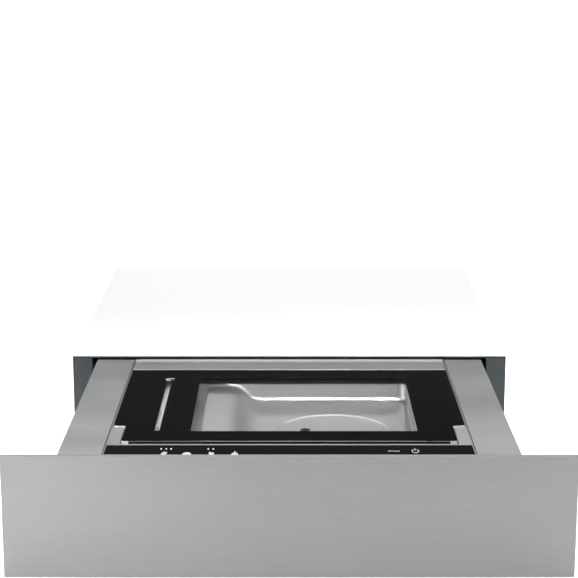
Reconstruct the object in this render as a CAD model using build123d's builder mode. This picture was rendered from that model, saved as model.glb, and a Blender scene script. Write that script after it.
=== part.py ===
"""A built-in vacuum sealing drawer, drawer fully out and lid closed.

Millimetres. X runs to the right, Y runs back into the cabinet and Z runs up. The origin is the middle
of the front edge of the housing's underside.
"""

import os
from math import cos, radians, sin

from build123d import *

os.makedirs("parts", exist_ok=True)

SIDES = (("left", -1), ("right", 1))

# Front panel
panel_width = 595.0
panel_height = 132.5
panel_foot = 2.0
panel_depth = 6.0
panel_skin = 1.2
panel_bend = 1.0
backing_sheet = 1.2
backing_gap = 0.3

# Housing
panel_overhang = 23.0
panel_rise = 2.5
housing_sheet = 1.2
housing_fold = 12.0
frame_depth = 8.0
frame_flange = 25.0
frame_lip = 2.5
frame_sill = 5.0
frame_edge = 0.8
fixing_hole_radius = 2.25
fixing_hole_height = 30.0
vent_count = 9
vent_width = 3.0
vent_height = 60.0
vent_pitch = 12.0

# Drawer body
push_gap = 3.0
reveal = 2.0
bay_depth = 115.0
drawer_top_gap = 1.2
drawer_side_gap = 7.2
drawer_bottom_gap = 1.8
chassis_sheet = 1.2
cover_sheet = 1.2
cover_skirt = 10.0
cover_inner_flange = 23.0
cover_groove = 0.8
cover_front_gap = 1.5
crossrail_height = 14.0
crossrail_sheet = 1.5
crossrail_gap = 2.5
crossrail_reach = 20.0
crossrail_margin = 2.0
bay_cover_gap = 3.0
pick_width = 0.1

# Telescopic slides
slide_front = 12.0
slide_height = 45.0
slide_centre = 60.0
slide_thickness = 12.7
slide_sheet = 1.2
slide_race = 3.8
slide_web_gap = 1.3
slide_lip = 6.5
middle_depth = 7.6
ball_radius = 1.6
ball_pitch = 10.0
ball_count = 8
ball_hole_gap = 0.05
outer_ball_inset = 3.8
inner_ball_inset = 1.9
cage_length = 84.0
cage_sheet = 0.7
bracket_length = 30.0
bracket_height = 30.0
bracket_sheet = 1.5
bracket_inset = 40.0
bracket_reach = 32.6

# Push latch and mains inlet
latch_x = 150.0
latch_height = 65.0
latch_width = 40.0
latch_thickness = 24.0
latch_depth = 20.0
latch_corner = 3.0
latch_room = 26.8
latch_plunger_radius = 5.0
latch_plunger_length = 19.0
latch_plunger_edge = 1.5
latch_bore_depth = 17.5
latch_touch_gap = 0.3
plunger_fit = 0.05
inlet_x = -200.0
inlet_height = 40.0
inlet_flange = (40.0, 26.0)
inlet_nose = (27.0, 19.0)
inlet_recess = (22.5, 14.5)
inlet_recess_depth = 15.0
inlet_depth = 20.0
inlet_flange_sheet = 2.8
inlet_fit = 0.2
inlet_pin = (2.0, 4.0)
inlet_pin_length = 11.0
inlet_pin_root = 1.0
inlet_pin_pitch = 7.0

# Control strip
control_gap = 2.0
control_depth = 48.2
control_glass_sheet = 4.0
control_side_gap = 2.2
tray_height = 12.3
tray_wall = 2.0
tray_side_gap = 2.4
tray_front_gap = 1.0
tray_rear_gap = 0.8
control_edge = 0.4
board_sheet = 1.6
board_gap = 1.0
board_rise = 3.0
key_radius = 3.0
key_places = (-131.0, -107.0, -81.6, -57.0, 87.0, 109.0, 132.0)

# Deck around the lid
deck_half = 195.0
deck_sheet = 1.2
deck_strip = 3.4
deck_strip_gap = 0.4
deck_strip_sheet = 1.5
finger_groove = 8.5
pad_drop = 0.7
pad_gap = 0.6

# Lid
lid_gap = 0.4
lid_depth = 285.5
lid_glass_sheet = 8.0
lid_proud = 0.7
lid_edge = 0.6
lid_print_sheet = 0.3
notch_width = 13.4
notch_depth = 54.5
notch_inner_radius = 5.0
notch_outer_radius = 4.0
lid_rear_radius = 1.5
window_side_margins = (86.0, 53.9)
window_front_margin = 34.5
window_rear_margin = 34.0
window_radius = 2.0
slot_width = 5.4
slot_front_margin = 36.5
slot_rear_margin = 45.0
hinge_strip_depth = 48.5
hinge_strip_gap = 1.5
hinge_strip_sheet = 1.5
hinge_strip_bend = 0.9
hinge_web = 2.0
hinge_foot = 9.5
hinge_foot_height = 3.0
hinge_skirt = 10.3
hinge_side_gap = 0.6
hinge_pin_radius = 3.0
hinge_pin_fit = 0.05
hinge_pin_length = 13.0
hinge_axis_drop = 8.8
hinge_axis_set_back = 26.0
hinge_block_width = 12.0
hinge_block_depth = 16.0
hinge_block_drop = 7.5
ear_sheet = 2.8
ear_radius = 6.0
ear_foot_length = 14.0
ear_foot_depth = 24.0
ear_foot_sheet = 2.0
ear_gap = 0.6

# Vacuum chamber
chamber_sheet = 1.5
chamber_side_margins = (27.4, 45.4)
chamber_end_margins = (17.5, 20.0)
chamber_depth = 22.0
chamber_corner = 16.0
trough_corner = 6.0
chamber_floor_radius = 7.0
trough_width = 67.5
shelf_drop = 2.5
shelf_width = 23.5
ramp_length = 40.0
ring_inset = 97.0
ring_radius = 66.0
ring_width = 4.5
ring_height = 1.2
gasket_height = 4.4
gasket_width = 8.0
gasket_gap = 0.3
gasket_inset = 2.0
gasket_edge = 1.6
flange_foot_gap = 1.0
port_offset = (-32.5, 5.0)
port_cap_radius = 6.0
port_cap_sheet = 1.0
port_slot = 1.2
nipple_radius = 3.0
nipple_bore = 1.8
nipple_length = 12.5

# Sealing bar
bar_inset = 21.8
bar_width = 12.0
bar_height = 11.4
bar_end_gaps = (14.0, 20.0)
bar_edge = 1.0
bar_lift = 4.0
bar_lift_gap = 0.3
band_width = 5.0
band_sheet = 0.7
lift_spacing = 110.0
lift_rod_radius = 4.0
lift_fit = 0.1
lift_piston_radius = 6.9
lift_piston_height = 5.0
lift_cylinder_radius = 9.0
lift_cylinder_height = 28.5
lift_cylinder_wall = 3.0
lift_cylinder_cap = 4.5
counter_bar_width = 14.0
counter_bar_lap = 3.0
counter_bar_rear_gap = 4.0
counter_bar_height = 2.3
counter_seal_width = 10.0
counter_seal_height = 2.0

# Lid switch
switch_insets = (21.4, 32.0)
switch_body = (10.0, 12.0, 14.5)
switch_plunger_radius = 1.5
switch_plunger_length = 14.4
switch_bore_depth = 11.5
switch_touch_gap = 0.3

# Pump and motor, on one shaft along X
pump_set_back = 58.0
pump_top_gap = 4.5
pump_bottom_gap = 10.8
motor_inset = 56.0
motor_length = 110.0
motor_wall = 3.0
stator_thickness = 5.0
stator_length = 80.0
rotor_gap = 1.0
rotor_length = 70.0
shaft_radius = 4.0
shaft_fit = 0.05
shaft_overhang = 14.0
pump_length = 54.0
pump_wall = 10.0
pump_side_wall = 8.0
pump_cavity_drop = 3.0
pump_rotor_gap = 0.5
pump_face_gap = 0.2
vane_count = 4
vane_sheet = 2.8
vane_fit = 0.1
vane_height = 10.4
end_cover_sheet = 8.0
bearing_depth = 6.0
shaft_end_gap = 2.0
vane_tip_gap = 0.1
pump_port_spacing = 24.0
pump_port_length = 14.0
pump_foot_sheet = 2.0
pump_foot_margin = 12.0
pump_foot_depth = 70.0
saddle_width = 10.0
saddle_depth = 40.0
saddle_inset = 20.0
buffer_radius = 6.0
buffer_height = 7.8

# Machinery bay behind the chamber
hose_radius = 4.0
hose_bore = 3.05
hose_bend = 25.0
hose_lap = 10.0
hose_low_rise = 16.8
valve_side_gap = 46.8
valve_width = 55.0
valve_rear_gap = 53.8
valve_depth = 40.0
valve_height = 56.8
valve_port_inset = 15.0
valve_port_length = 12.0
solenoid_radius = 11.0
solenoid_height = 30.0
transformer_side_gap = 19.8
transformer_rear_gap = 25.8
core_depth = 50.0
core_height = 64.0
core_leg = 10.0
core_window = 12.0
core_foot_sheet = 2.8
core_foot_reach = 10.0
coil_overhang = 8.0
coil_corner = 5.0
coil_fit = 0.3
main_board_gaps = (8.0, 20.0)
main_board_rear_gap = 6.8
main_board_depth = 64.0
standoff_height = 6.8
standoff_radius = 3.0
standoff_inset = 6.0
capacitor_radius = 8.0
capacitor_height = 26.0
capacitor_count = 3
capacitor_pitch = 21.0
capacitor_left = 24.0
capacitor_set_back = 20.0
heat_sink_size = (46.0, 16.0, 30.0)
heat_sink_margin = (20.0, 8.0)
relay_size = (20.0, 16.0, 16.0)
relay_count = 2
relay_pitch = 26.0
relay_left = 100.0
relay_margin = 8.0
fan_size = 80.0
fan_depth = 25.0
fan_top_gap = 15.9
fan_bore = 37.5
fan_hub_radius = 15.0
fan_tip_gap = 1.0
fan_hub_sheet = 3.5
fan_spoke_width = 4.0
fan_spindle_radius = 1.5
fan_spindle_end = 3.3
fan_spindle_gap = 0.2
fan_blade_count = 7
fan_blade_sheet = 1.4
fan_blade_chord = 15.0
fan_blade_pitch = 35.0
fan_face_gap = 1.5
fan_corner = 5.0
fan_lap = 2.0
fan_spoke_count = 3
fan_spoke_start = 30.0
cover_lip = 13.0
screw_radius = 2.0
screw_hole_radius = 2.1
screw_head_radius = 4.0
screw_head_height = 2.2
screw_length = 2.6
screw_side_inset = 26.8
screw_bottom_inset = 27.0
screw_pitch = (60.0, 55.0)

# Places that follow from the sizes above
housing_width = panel_width - 2 * panel_overhang
panel_top = panel_foot + panel_height
housing_height = panel_top - panel_rise
housing_half = housing_width / 2
housing_inner = housing_half - housing_sheet
opening_half = housing_half - frame_flange
opening_top = housing_height - frame_lip
opening_bottom = housing_sheet + frame_sill

control_strip = control_gap + control_depth + deck_strip_gap + deck_strip
drawer_out = control_strip + finger_groove + lid_depth + hinge_strip_gap + hinge_strip_depth + reveal
travel = drawer_out - push_gap
slide_length = travel + bay_depth - slide_front
housing_back = travel + bay_depth + latch_room
housing_depth = housing_back + housing_sheet
panel_back = -drawer_out
panel_front = panel_back - panel_depth
drawer_top = opening_top - drawer_top_gap
drawer_bottom = opening_bottom + drawer_bottom_gap
bay_floor = drawer_bottom + chassis_sheet
cover_outer = opening_half - drawer_side_gap
cover_inner = deck_half + cover_groove
cover_under = drawer_top - cover_sheet
chassis_half = housing_inner - bracket_reach - slide_thickness
chassis_inner = chassis_half - chassis_sheet
chassis_back = bay_depth
rear_top = cover_under - chassis_sheet
chassis_inner_back = chassis_back - chassis_sheet

control_front = panel_back + control_gap
control_rear = control_front + control_depth
deck_front = control_rear + deck_strip_gap
groove_front = deck_front + deck_strip
lid_front = groove_front + finger_groove
lid_rear = lid_front + lid_depth
strip_front = lid_rear + hinge_strip_gap
strip_rear = strip_front + hinge_strip_depth
notch_rear = lid_front + notch_depth

deck_inner = deck_half - deck_sheet
lid_half = deck_inner - lid_gap
notch_half = lid_half - notch_width
lid_top = drawer_top + lid_proud
window_left = window_side_margins[0] - lid_half
window_right = lid_half - window_side_margins[1]
glass_top = lid_top - lid_print_sheet
glass_under = glass_top - lid_glass_sheet
gasket_top = glass_under - gasket_gap
flange_top = gasket_top - gasket_height
flange_under = flange_top - chamber_sheet
floor_top = flange_top - chamber_depth
floor_under = floor_top - chamber_sheet
shelf_top = flange_top - shelf_drop
chamber_left = chamber_side_margins[0] - lid_half
chamber_right = lid_half - chamber_side_margins[1]
chamber_front = lid_front + chamber_end_margins[0]
chamber_rear = lid_rear - chamber_end_margins[1]
shelf_left = chamber_left + trough_width
ramp_left = shelf_left + shelf_width
ring_x = chamber_right - ring_inset
ring_y = (chamber_front + chamber_rear) / 2
port_x = ring_x + port_offset[0]
port_y = ring_y + port_offset[1]
switch_x = lid_half - switch_insets[0]
switch_y = lid_rear - switch_insets[1]
crossrail_top = floor_under - crossrail_gap
pad_top = drawer_top - pad_drop

hinge_y = strip_rear - hinge_axis_set_back
hinge_z = drawer_top - hinge_axis_drop
control_under = drawer_top - control_glass_sheet
tray_under = control_under - tray_height

counter_seal_under = glass_under - counter_bar_height - counter_seal_height
band_top = counter_seal_under - bar_lift - bar_lift_gap
bar_top = band_top - band_sheet
bar_under = bar_top - bar_height
bar_x = chamber_left + bar_inset
bar_front = chamber_front + bar_end_gaps[0]
bar_rear = chamber_rear - bar_end_gaps[1]
bar_middle = (bar_front + bar_rear) / 2
lift_places = [(bar_x, bar_middle + way * lift_spacing / 2) for way in (-1, 1)]

motor_radius = (floor_under - bay_floor - pump_top_gap - pump_bottom_gap) / 2
pump_z = floor_under - pump_top_gap - motor_radius
stator_radius = motor_radius - motor_wall - stator_thickness
pump_cavity_radius = motor_radius - pump_side_wall
pump_rotor_radius = pump_cavity_radius - pump_cavity_drop - pump_rotor_gap
pump_y = chamber_rear - pump_set_back
motor_left = chamber_left + motor_inset
motor_right = motor_left + motor_length
pump_right = motor_right + pump_length
end_cover_right = pump_right + end_cover_sheet
fan_front = chassis_inner_back - fan_depth
fan_height = rear_top - fan_top_gap - fan_size / 2
valve_left = chassis_inner - valve_side_gap - valve_width
valve_front = chassis_inner_back - valve_rear_gap - valve_depth
core_width = 4 * core_leg + 2 * core_window
transformer_front = chassis_inner_back - transformer_rear_gap - coil_overhang - core_depth
transformer_left = transformer_side_gap - chassis_inner
transformer_right = transformer_left + core_width + 2 * core_foot_reach
transformer_x = (transformer_left + transformer_right) / 2
main_board_left = transformer_right + main_board_gaps[0]
main_board_width = valve_left - main_board_gaps[1] - main_board_left
main_board_front = fan_front - main_board_rear_gap - main_board_depth


def block(x, y, z, mode=Mode.ADD):
    """Join a rectangular block, given by its two limits along each axis."""
    with Locations((sum(x) / 2, sum(y) / 2, sum(z) / 2)):
        Box(abs(x[1] - x[0]), abs(y[1] - y[0]), abs(z[1] - z[0]), mode=mode)


def centred(middle, size):
    """The two limits of a length that is centred on a point."""
    return (middle - size / 2, middle + size / 2)


def rod(start, direction, radius, length, mode=Mode.ADD):
    """Join a round rod that starts at a point and runs in a direction."""
    with Locations(Plane(origin=start, z_dir=direction)):
        Cylinder(radius, length, align=(Align.CENTER, Align.CENTER, Align.MIN), mode=mode)


def across(y):
    """The plane square to the drawer's travel at one depth. Its extrusions run forward, to -Y."""
    return Plane.XZ.offset(-y)


# Housing: folded sheet carcass
with BuildPart() as base_plate:
    block(centred(0, housing_width), (0, housing_depth), (0, housing_sheet))
base_plate.part.label = "base_plate"
export_step(base_plate.part, "parts/base_plate.step")

for side_name, side in SIDES:
    with BuildPart() as side_wall:
        wall_x = (side * housing_inner, side * housing_half)
        fold_x = (side * (housing_inner - housing_fold), side * housing_inner)
        wall_y = (frame_depth, housing_back)
        block(wall_x, wall_y, (housing_sheet, housing_height - housing_sheet))
        block(fold_x, wall_y, (housing_sheet, 2 * housing_sheet))
        block(fold_x, wall_y, (housing_height - 2 * housing_sheet, housing_height - housing_sheet))
    side_wall.part.label = f"side_wall_{side_name}"
    export_step(side_wall.part, f"parts/side_wall_{side_name}.step")

with BuildPart() as rear_wall:
    block(
        centred(0, housing_width),
        (housing_back, housing_depth),
        (housing_sheet, housing_height - housing_sheet),
    )
    block(
        centred(inlet_x, inlet_nose[0] + 2 * inlet_fit),
        (housing_back, housing_depth),
        centred(inlet_height, inlet_nose[1] + 2 * inlet_fit),
        mode=Mode.SUBTRACT,
    )
    with Locations((0, housing_back + housing_sheet / 2, fan_height)):
        with GridLocations(vent_pitch, 1, vent_count, 1):
            Box(vent_width, housing_sheet, vent_height, mode=Mode.SUBTRACT)
rear_wall.part.label = "rear_wall"
export_step(rear_wall.part, "parts/rear_wall.step")

with BuildPart() as top_cover:
    block(
        centred(0, housing_width),
        (frame_depth, housing_depth),
        (housing_height - housing_sheet, housing_height),
    )
top_cover.part.label = "top_cover"
export_step(top_cover.part, "parts/top_cover.step")

with BuildPart() as front_frame:
    block(centred(0, housing_width), (0, frame_depth), (housing_sheet, housing_height))
    block(
        centred(0, 2 * opening_half),
        (0, frame_depth),
        (opening_bottom, opening_top),
        mode=Mode.SUBTRACT,
    )
    front_edges = front_frame.edges().filter_by_position(Axis.Y, -pick_width, pick_width)
    outer_edges = front_edges.filter_by(Axis.Z)
    chamfer(outer_edges, frame_edge)
    for side_name, side in SIDES:
        hole_start = (side * (housing_half - frame_flange / 2), 0, fixing_hole_height)
        rod(hole_start, (0, 1, 0), fixing_hole_radius, frame_depth, mode=Mode.SUBTRACT)
front_frame.part.label = "front_frame"
export_step(front_frame.part, "parts/front_frame.step")

# Telescopic slides: three nested members a side, with caged balls in the races between them
outer_half_height = slide_height / 2
middle_half_height = outer_half_height - slide_sheet - slide_race
inner_half_height = middle_half_height - slide_sheet - slide_race
slide_outer_x = chassis_half + slide_thickness
middle_outer_x = slide_outer_x - slide_sheet - slide_web_gap
slide_lip_x = middle_outer_x - middle_depth
middle_front = slide_front - travel / 2
inner_front = slide_front - travel


def channel(side, web, lips, half_height, y):
    """Join a C section along Y: a web at x limits web, and two lips over x limits lips."""
    web_x = [side * x for x in web]
    lip_x = [side * x for x in lips]
    block(web_x, y, centred(slide_centre, 2 * half_height))
    for way in (-1, 1):
        lip_z = [slide_centre + way * z for z in (half_height - slide_sheet, half_height)]
        block(lip_x, y, lip_z)


for side_name, side in SIDES:
    with BuildPart() as outer_rail:
        channel(
            side,
            (slide_outer_x - slide_sheet, slide_outer_x),
            (slide_lip_x, slide_outer_x),
            outer_half_height,
            (slide_front, slide_front + slide_length),
        )
    outer_rail.part.label = f"outer_rail_{side_name}"
    export_step(outer_rail.part, f"parts/outer_rail_{side_name}.step")

    with BuildPart() as middle_rail:
        channel(
            side,
            (middle_outer_x - slide_sheet, middle_outer_x),
            (slide_lip_x, middle_outer_x),
            middle_half_height,
            (middle_front, middle_front + slide_length),
        )
    middle_rail.part.label = f"middle_rail_{side_name}"
    export_step(middle_rail.part, f"parts/middle_rail_{side_name}.step")

    with BuildPart() as inner_rail:
        channel(
            side,
            (chassis_half, chassis_half + slide_sheet),
            (chassis_half, chassis_half + slide_lip),
            inner_half_height,
            (inner_front, inner_front + slide_length),
        )
    inner_rail.part.label = f"inner_rail_{side_name}"
    export_step(inner_rail.part, f"parts/inner_rail_{side_name}.step")


def ball_places(side, ball_x, ball_rise, middle_y):
    """The centres of the balls of one cage, in one row above and one below the slide's centre."""
    first_y = middle_y - ball_pitch * (ball_count - 1) / 2
    rows = [(side * ball_x, slide_centre + way * ball_rise) for way in (-1, 1)]
    return [(x, first_y + ball_pitch * i, z) for x, z in rows for i in range(ball_count)]


def caged_balls(web_x, ball_x, ball_rise, middle_y):
    """Both sides' ball cages of one race, each a thin C section with balls in its holes."""
    for _, side in SIDES:
        places = ball_places(side, ball_x, ball_rise, middle_y)
        with BuildPart(mode=Mode.PRIVATE) as cage:
            cage_y = centred(middle_y, cage_length)
            web = (side * web_x, side * (web_x - cage_sheet))
            block(web, cage_y, centred(slide_centre, 2 * ball_rise + cage_sheet))
            for way in (-1, 1):
                lip_x = (side * (ball_x - 2 * ball_radius), side * web_x)
                block(lip_x, cage_y, centred(slide_centre + way * ball_rise, cage_sheet))
            with Locations(places):
                Cylinder(ball_radius + ball_hole_gap, 2 * cage_sheet, mode=Mode.SUBTRACT)
        add(cage.part)
        with Locations(places):
            Sphere(ball_radius)


outer_ball_rise = middle_half_height + slide_race / 2
inner_ball_rise = inner_half_height + slide_race / 2
slide_middle = slide_front + slide_length / 2
web_clearance = (slide_web_gap - cage_sheet) / 2

with BuildPart() as outer_ball_cages:
    caged_balls(
        middle_outer_x + slide_web_gap - web_clearance,
        slide_lip_x + outer_ball_inset,
        outer_ball_rise,
        slide_middle - travel / 4,
    )
outer_ball_cages.part.label = "outer_ball_cages"
export_step(outer_ball_cages.part, "parts/outer_ball_cages.step")

with BuildPart() as inner_ball_cages:
    caged_balls(
        middle_outer_x - slide_sheet - web_clearance,
        slide_lip_x + inner_ball_inset,
        inner_ball_rise,
        slide_middle - travel * 3 / 4,
    )
inner_ball_cages.part.label = "inner_ball_cages"
export_step(inner_ball_cages.part, "parts/inner_ball_cages.step")

with BuildPart() as rail_brackets:
    for side_name, side in SIDES:
        for bracket_y in (slide_front + bracket_inset, slide_front + slide_length - bracket_inset):
            outside_x = (side * slide_outer_x, side * housing_inner)
            inside_x = (side * (slide_outer_x + bracket_sheet), side * (housing_inner - bracket_sheet))
            y = centred(bracket_y, bracket_length)
            block(outside_x, y, centred(slide_centre, bracket_height))
            inside_z = centred(slide_centre, bracket_height - 2 * bracket_sheet)
            block(inside_x, y, inside_z, mode=Mode.SUBTRACT)
rail_brackets.part.label = "rail_brackets"
export_step(rail_brackets.part, "parts/rail_brackets.step")

# Push latch and mains inlet on the rear wall
plunger_tip = chassis_back + travel + latch_touch_gap
latch_front = housing_back - latch_depth

with BuildPart() as push_latch_body:
    block(
        centred(latch_x, latch_width),
        (latch_front, housing_back),
        centred(latch_height, latch_thickness),
    )
    fillet(push_latch_body.edges().filter_by(Axis.Y), latch_corner)
    rod(
        (latch_x, latch_front, latch_height),
        (0, 1, 0),
        latch_plunger_radius + plunger_fit,
        latch_bore_depth,
        mode=Mode.SUBTRACT,
    )
push_latch_body.part.label = "push_latch_body"
export_step(push_latch_body.part, "parts/push_latch_body.step")

with BuildPart() as push_latch_plunger:
    rod((latch_x, plunger_tip, latch_height), (0, 1, 0), latch_plunger_radius, latch_plunger_length)
    fillet(push_latch_plunger.edges().sort_by(Axis.Y)[0], latch_plunger_edge)
push_latch_plunger.part.label = "push_latch_plunger"
export_step(push_latch_plunger.part, "parts/push_latch_plunger.step")

with BuildPart() as mains_inlet:
    flange_y = (housing_back - inlet_flange_sheet, housing_back)
    block(centred(inlet_x, inlet_flange[0]), flange_y, centred(inlet_height, inlet_flange[1]))
    nose_y = (housing_depth - inlet_depth, housing_depth)
    block(centred(inlet_x, inlet_nose[0]), nose_y, centred(inlet_height, inlet_nose[1]))
    recess_y = (housing_depth - inlet_recess_depth, housing_depth)
    block(
        centred(inlet_x, inlet_recess[0]),
        recess_y,
        centred(inlet_height, inlet_recess[1]),
        mode=Mode.SUBTRACT,
    )
    for i in (-1, 0, 1):
        pin_x = centred(inlet_x + i * inlet_pin_pitch, inlet_pin[0])
        pin_y = (recess_y[0] - inlet_pin_root, recess_y[0] + inlet_pin_length)
        block(pin_x, pin_y, centred(inlet_height, inlet_pin[1]))
mains_inlet.part.label = "mains_inlet"
export_step(mains_inlet.part, "parts/mains_inlet.step")

# Drawer front
with BuildPart() as front_panel:
    block(centred(0, panel_width), (panel_front, panel_back), (panel_foot, panel_top))
    front_edges = front_panel.edges().group_by(Axis.Y)[0]
    fillet(front_edges, panel_bend)
    block(
        centred(0, panel_width - 2 * panel_skin),
        (panel_front + panel_skin, panel_back),
        (panel_foot + panel_skin, panel_top - panel_skin),
        mode=Mode.SUBTRACT,
    )
front_panel.part.label = "front_panel"
export_step(front_panel.part, "parts/front_panel.step")

screw_outer = chassis_inner - screw_side_inset
screw_inner = screw_outer - screw_pitch[0]
screw_low = drawer_bottom + screw_bottom_inset
screw_rows = (screw_low, screw_low + screw_pitch[1])
screw_columns = (-screw_outer, -screw_inner, screw_inner, screw_outer)
screw_places = [(x, z) for x in screw_columns for z in screw_rows]


def screw_holes(start_y, length):
    """Cut the clearance holes of the panel screws through a wall."""
    for x, z in screw_places:
        rod((x, start_y, z), (0, 1, 0), screw_hole_radius, length, mode=Mode.SUBTRACT)


with BuildPart() as panel_backing:
    backing_front = panel_back - backing_sheet
    inset = panel_skin + backing_gap
    block(
        centred(0, panel_width - 2 * inset),
        (backing_front, panel_back),
        (panel_foot + inset, panel_top - inset),
    )
    screw_holes(backing_front, backing_sheet)
panel_backing.part.label = "panel_backing"
export_step(panel_backing.part, "parts/panel_backing.step")

with BuildPart() as panel_screws:
    screw_seat = panel_back + chassis_sheet
    for screw_x, screw_z in screw_places:
        rod((screw_x, screw_seat, screw_z), (0, 1, 0), screw_head_radius, screw_head_height)
        rod((screw_x, screw_seat - screw_length, screw_z), (0, 1, 0), screw_radius, screw_length)
panel_screws.part.label = "panel_screws"
export_step(panel_screws.part, "parts/panel_screws.step")

# Drawer chassis
with BuildPart() as chassis_pan:
    pan_x = centred(0, 2 * chassis_inner)
    block(pan_x, (panel_back, chassis_back), (drawer_bottom, bay_floor))
    block(pan_x, (panel_back, panel_back + chassis_sheet), (drawer_bottom, tray_under))
    tray_seat = (panel_back, panel_back + housing_fold)
    block(centred(0, 2 * deck_half), tray_seat, (tray_under - chassis_sheet, tray_under))
    block(pan_x, (chassis_inner_back, chassis_back), (drawer_bottom, rear_top))
    block(pan_x, (chassis_back - housing_fold, chassis_back), (rear_top - chassis_sheet, rear_top))
    rod((0, chassis_inner_back, fan_height), (0, 1, 0), fan_bore, chassis_sheet, mode=Mode.SUBTRACT)
    screw_holes(panel_back, chassis_sheet)
chassis_pan.part.label = "chassis_pan"
export_step(chassis_pan.part, "parts/chassis_pan.step")

for side_name, side in SIDES:
    with BuildPart() as chassis_side:
        side_x = (side * chassis_inner, side * chassis_half)
        block(side_x, (panel_back, chassis_back), (drawer_bottom, cover_under))
    chassis_side.part.label = f"chassis_side_{side_name}"
    export_step(chassis_side.part, f"parts/chassis_side_{side_name}.step")

    with BuildPart() as side_cover:
        cover_y = (panel_back + cover_front_gap, chassis_back)
        block((side * cover_inner, side * cover_outer), cover_y, (cover_under, drawer_top))
        skirt_x = (side * (cover_outer - cover_sheet), side * cover_outer)
        block(skirt_x, cover_y, (cover_under - cover_skirt, cover_under))
        flange_x = (side * cover_inner, side * (cover_inner + cover_sheet))
        flange_y = (cover_y[0], chassis_back - housing_fold)
        block(flange_x, flange_y, (cover_under - cover_inner_flange, cover_under))
    side_cover.part.label = f"side_cover_{side_name}"
    export_step(side_cover.part, f"parts/side_cover_{side_name}.step")

with BuildPart() as cross_rails:
    front_rail_y = (groove_front - 2 * deck_sheet, groove_front + crossrail_reach)
    rear_rail_y = (lid_rear - hinge_foot, hinge_y + ear_foot_depth / 2 + crossrail_margin)
    for rail_y in (front_rail_y, rear_rail_y):
        block(centred(0, 2 * chassis_inner), rail_y, (crossrail_top - crossrail_height, crossrail_top))
        block(
            centred(0, 2 * chassis_inner),
            (rail_y[0] + crossrail_sheet, rail_y[1] - crossrail_sheet),
            (crossrail_top - crossrail_height, crossrail_top - crossrail_sheet),
            mode=Mode.SUBTRACT,
        )
cross_rails.part.label = "cross_rails"
export_step(cross_rails.part, "parts/cross_rails.step")


def pad_corner(pads, rear, half):
    """The upright edges at the inner rear corners of the two pads beside the notches."""
    upright = pads.edges().filter_by(Axis.Z)
    rear_edges = upright.filter_by_position(Axis.Y, rear - pick_width, rear + pick_width)
    return [edge for edge in rear_edges if abs(abs(edge.center().X) - half) < pick_width]


with BuildPart() as pad_hollows:
    hollow_half = notch_half + pad_gap + deck_sheet
    hollow_rear = notch_rear - pad_gap - deck_sheet
    for side_name, side in SIDES:
        hollow_x = (side * hollow_half, side * deck_inner)
        block(hollow_x, (groove_front, hollow_rear), (flange_top, pad_top - deck_sheet))
    hollow_corner_radius = notch_inner_radius - pad_gap - deck_sheet
    fillet(pad_corner(pad_hollows, hollow_rear, hollow_half), hollow_corner_radius)

with BuildPart() as deck_frame:
    pad_half = notch_half + pad_gap
    pad_rear = notch_rear - pad_gap
    for side_name, side in SIDES:
        block((side * pad_half, side * deck_inner), (groove_front, pad_rear), (flange_top, pad_top))
    fillet(pad_corner(deck_frame, pad_rear, pad_half), notch_inner_radius - pad_gap)
    add(pad_hollows.part, mode=Mode.SUBTRACT)
    for side_name, side in SIDES:
        wall_x = (side * deck_inner, side * deck_half)
        block(wall_x, (deck_front, strip_rear), (crossrail_top, drawer_top))
        block(wall_x, (control_front, deck_front), (tray_under, drawer_top))
    deck_x = centred(0, 2 * deck_inner)
    block(deck_x, (groove_front - deck_sheet, groove_front), (crossrail_top, drawer_top))
    block(deck_x, (deck_front, groove_front), (drawer_top - deck_strip_sheet, drawer_top))
deck_frame.part.label = "deck_frame"
export_step(deck_frame.part, "parts/deck_frame.step")

with BuildPart() as bay_cover:
    bay_x = centred(0, 2 * cover_inner)
    bay_front = strip_rear + bay_cover_gap
    block(bay_x, (bay_front, chassis_back), (rear_top, rear_top + chassis_sheet))
    block(bay_x, (bay_front, bay_front + chassis_sheet), (rear_top - cover_lip, rear_top))
bay_cover.part.label = "bay_cover"
export_step(bay_cover.part, "parts/bay_cover.step")


# Vacuum chamber: a shelf beside the bar's trough, and an S-shaped ramp down to the floor
def ramp(dx, dz):
    """Draw the shelf's end and the ramp, moved by dx and dz, as two arcs that meet half way."""
    top = Vector(ramp_left + dx, shelf_top + dz)
    foot = Vector(ramp_left + ramp_length + dx, floor_top + dz)
    middle = (top + foot) / 2
    upper = TangentArc(top, middle, tangent=(1, 0))
    TangentArc(middle, foot, tangent=upper % 1)


def rim_edges(cavity):
    """The edges where the cavity's shelf, ramp and floor meet its front, rear and right walls."""
    low = [edge for edge in cavity.edges() if edge.center().Z < cutter_top - pick_width]
    flat = [edge for edge in low if abs(edge.tangent_at(0.5).Z) < 0.999]
    along = [edge for edge in flat if abs(edge.tangent_at(0.5).Y) > 0.999]
    inner = [edge for edge in along if edge.center().X < chamber_right - pick_width]
    return [edge for edge in flat if edge not in inner]


wall_left = chamber_left - chamber_sheet
wall_right = chamber_right + chamber_sheet
cutter_top = flange_top + 2 * chamber_floor_radius
ramp_shift = -chamber_sheet / 2
step_x = shelf_left + chamber_sheet
shelf_under = shelf_top - chamber_sheet

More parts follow.
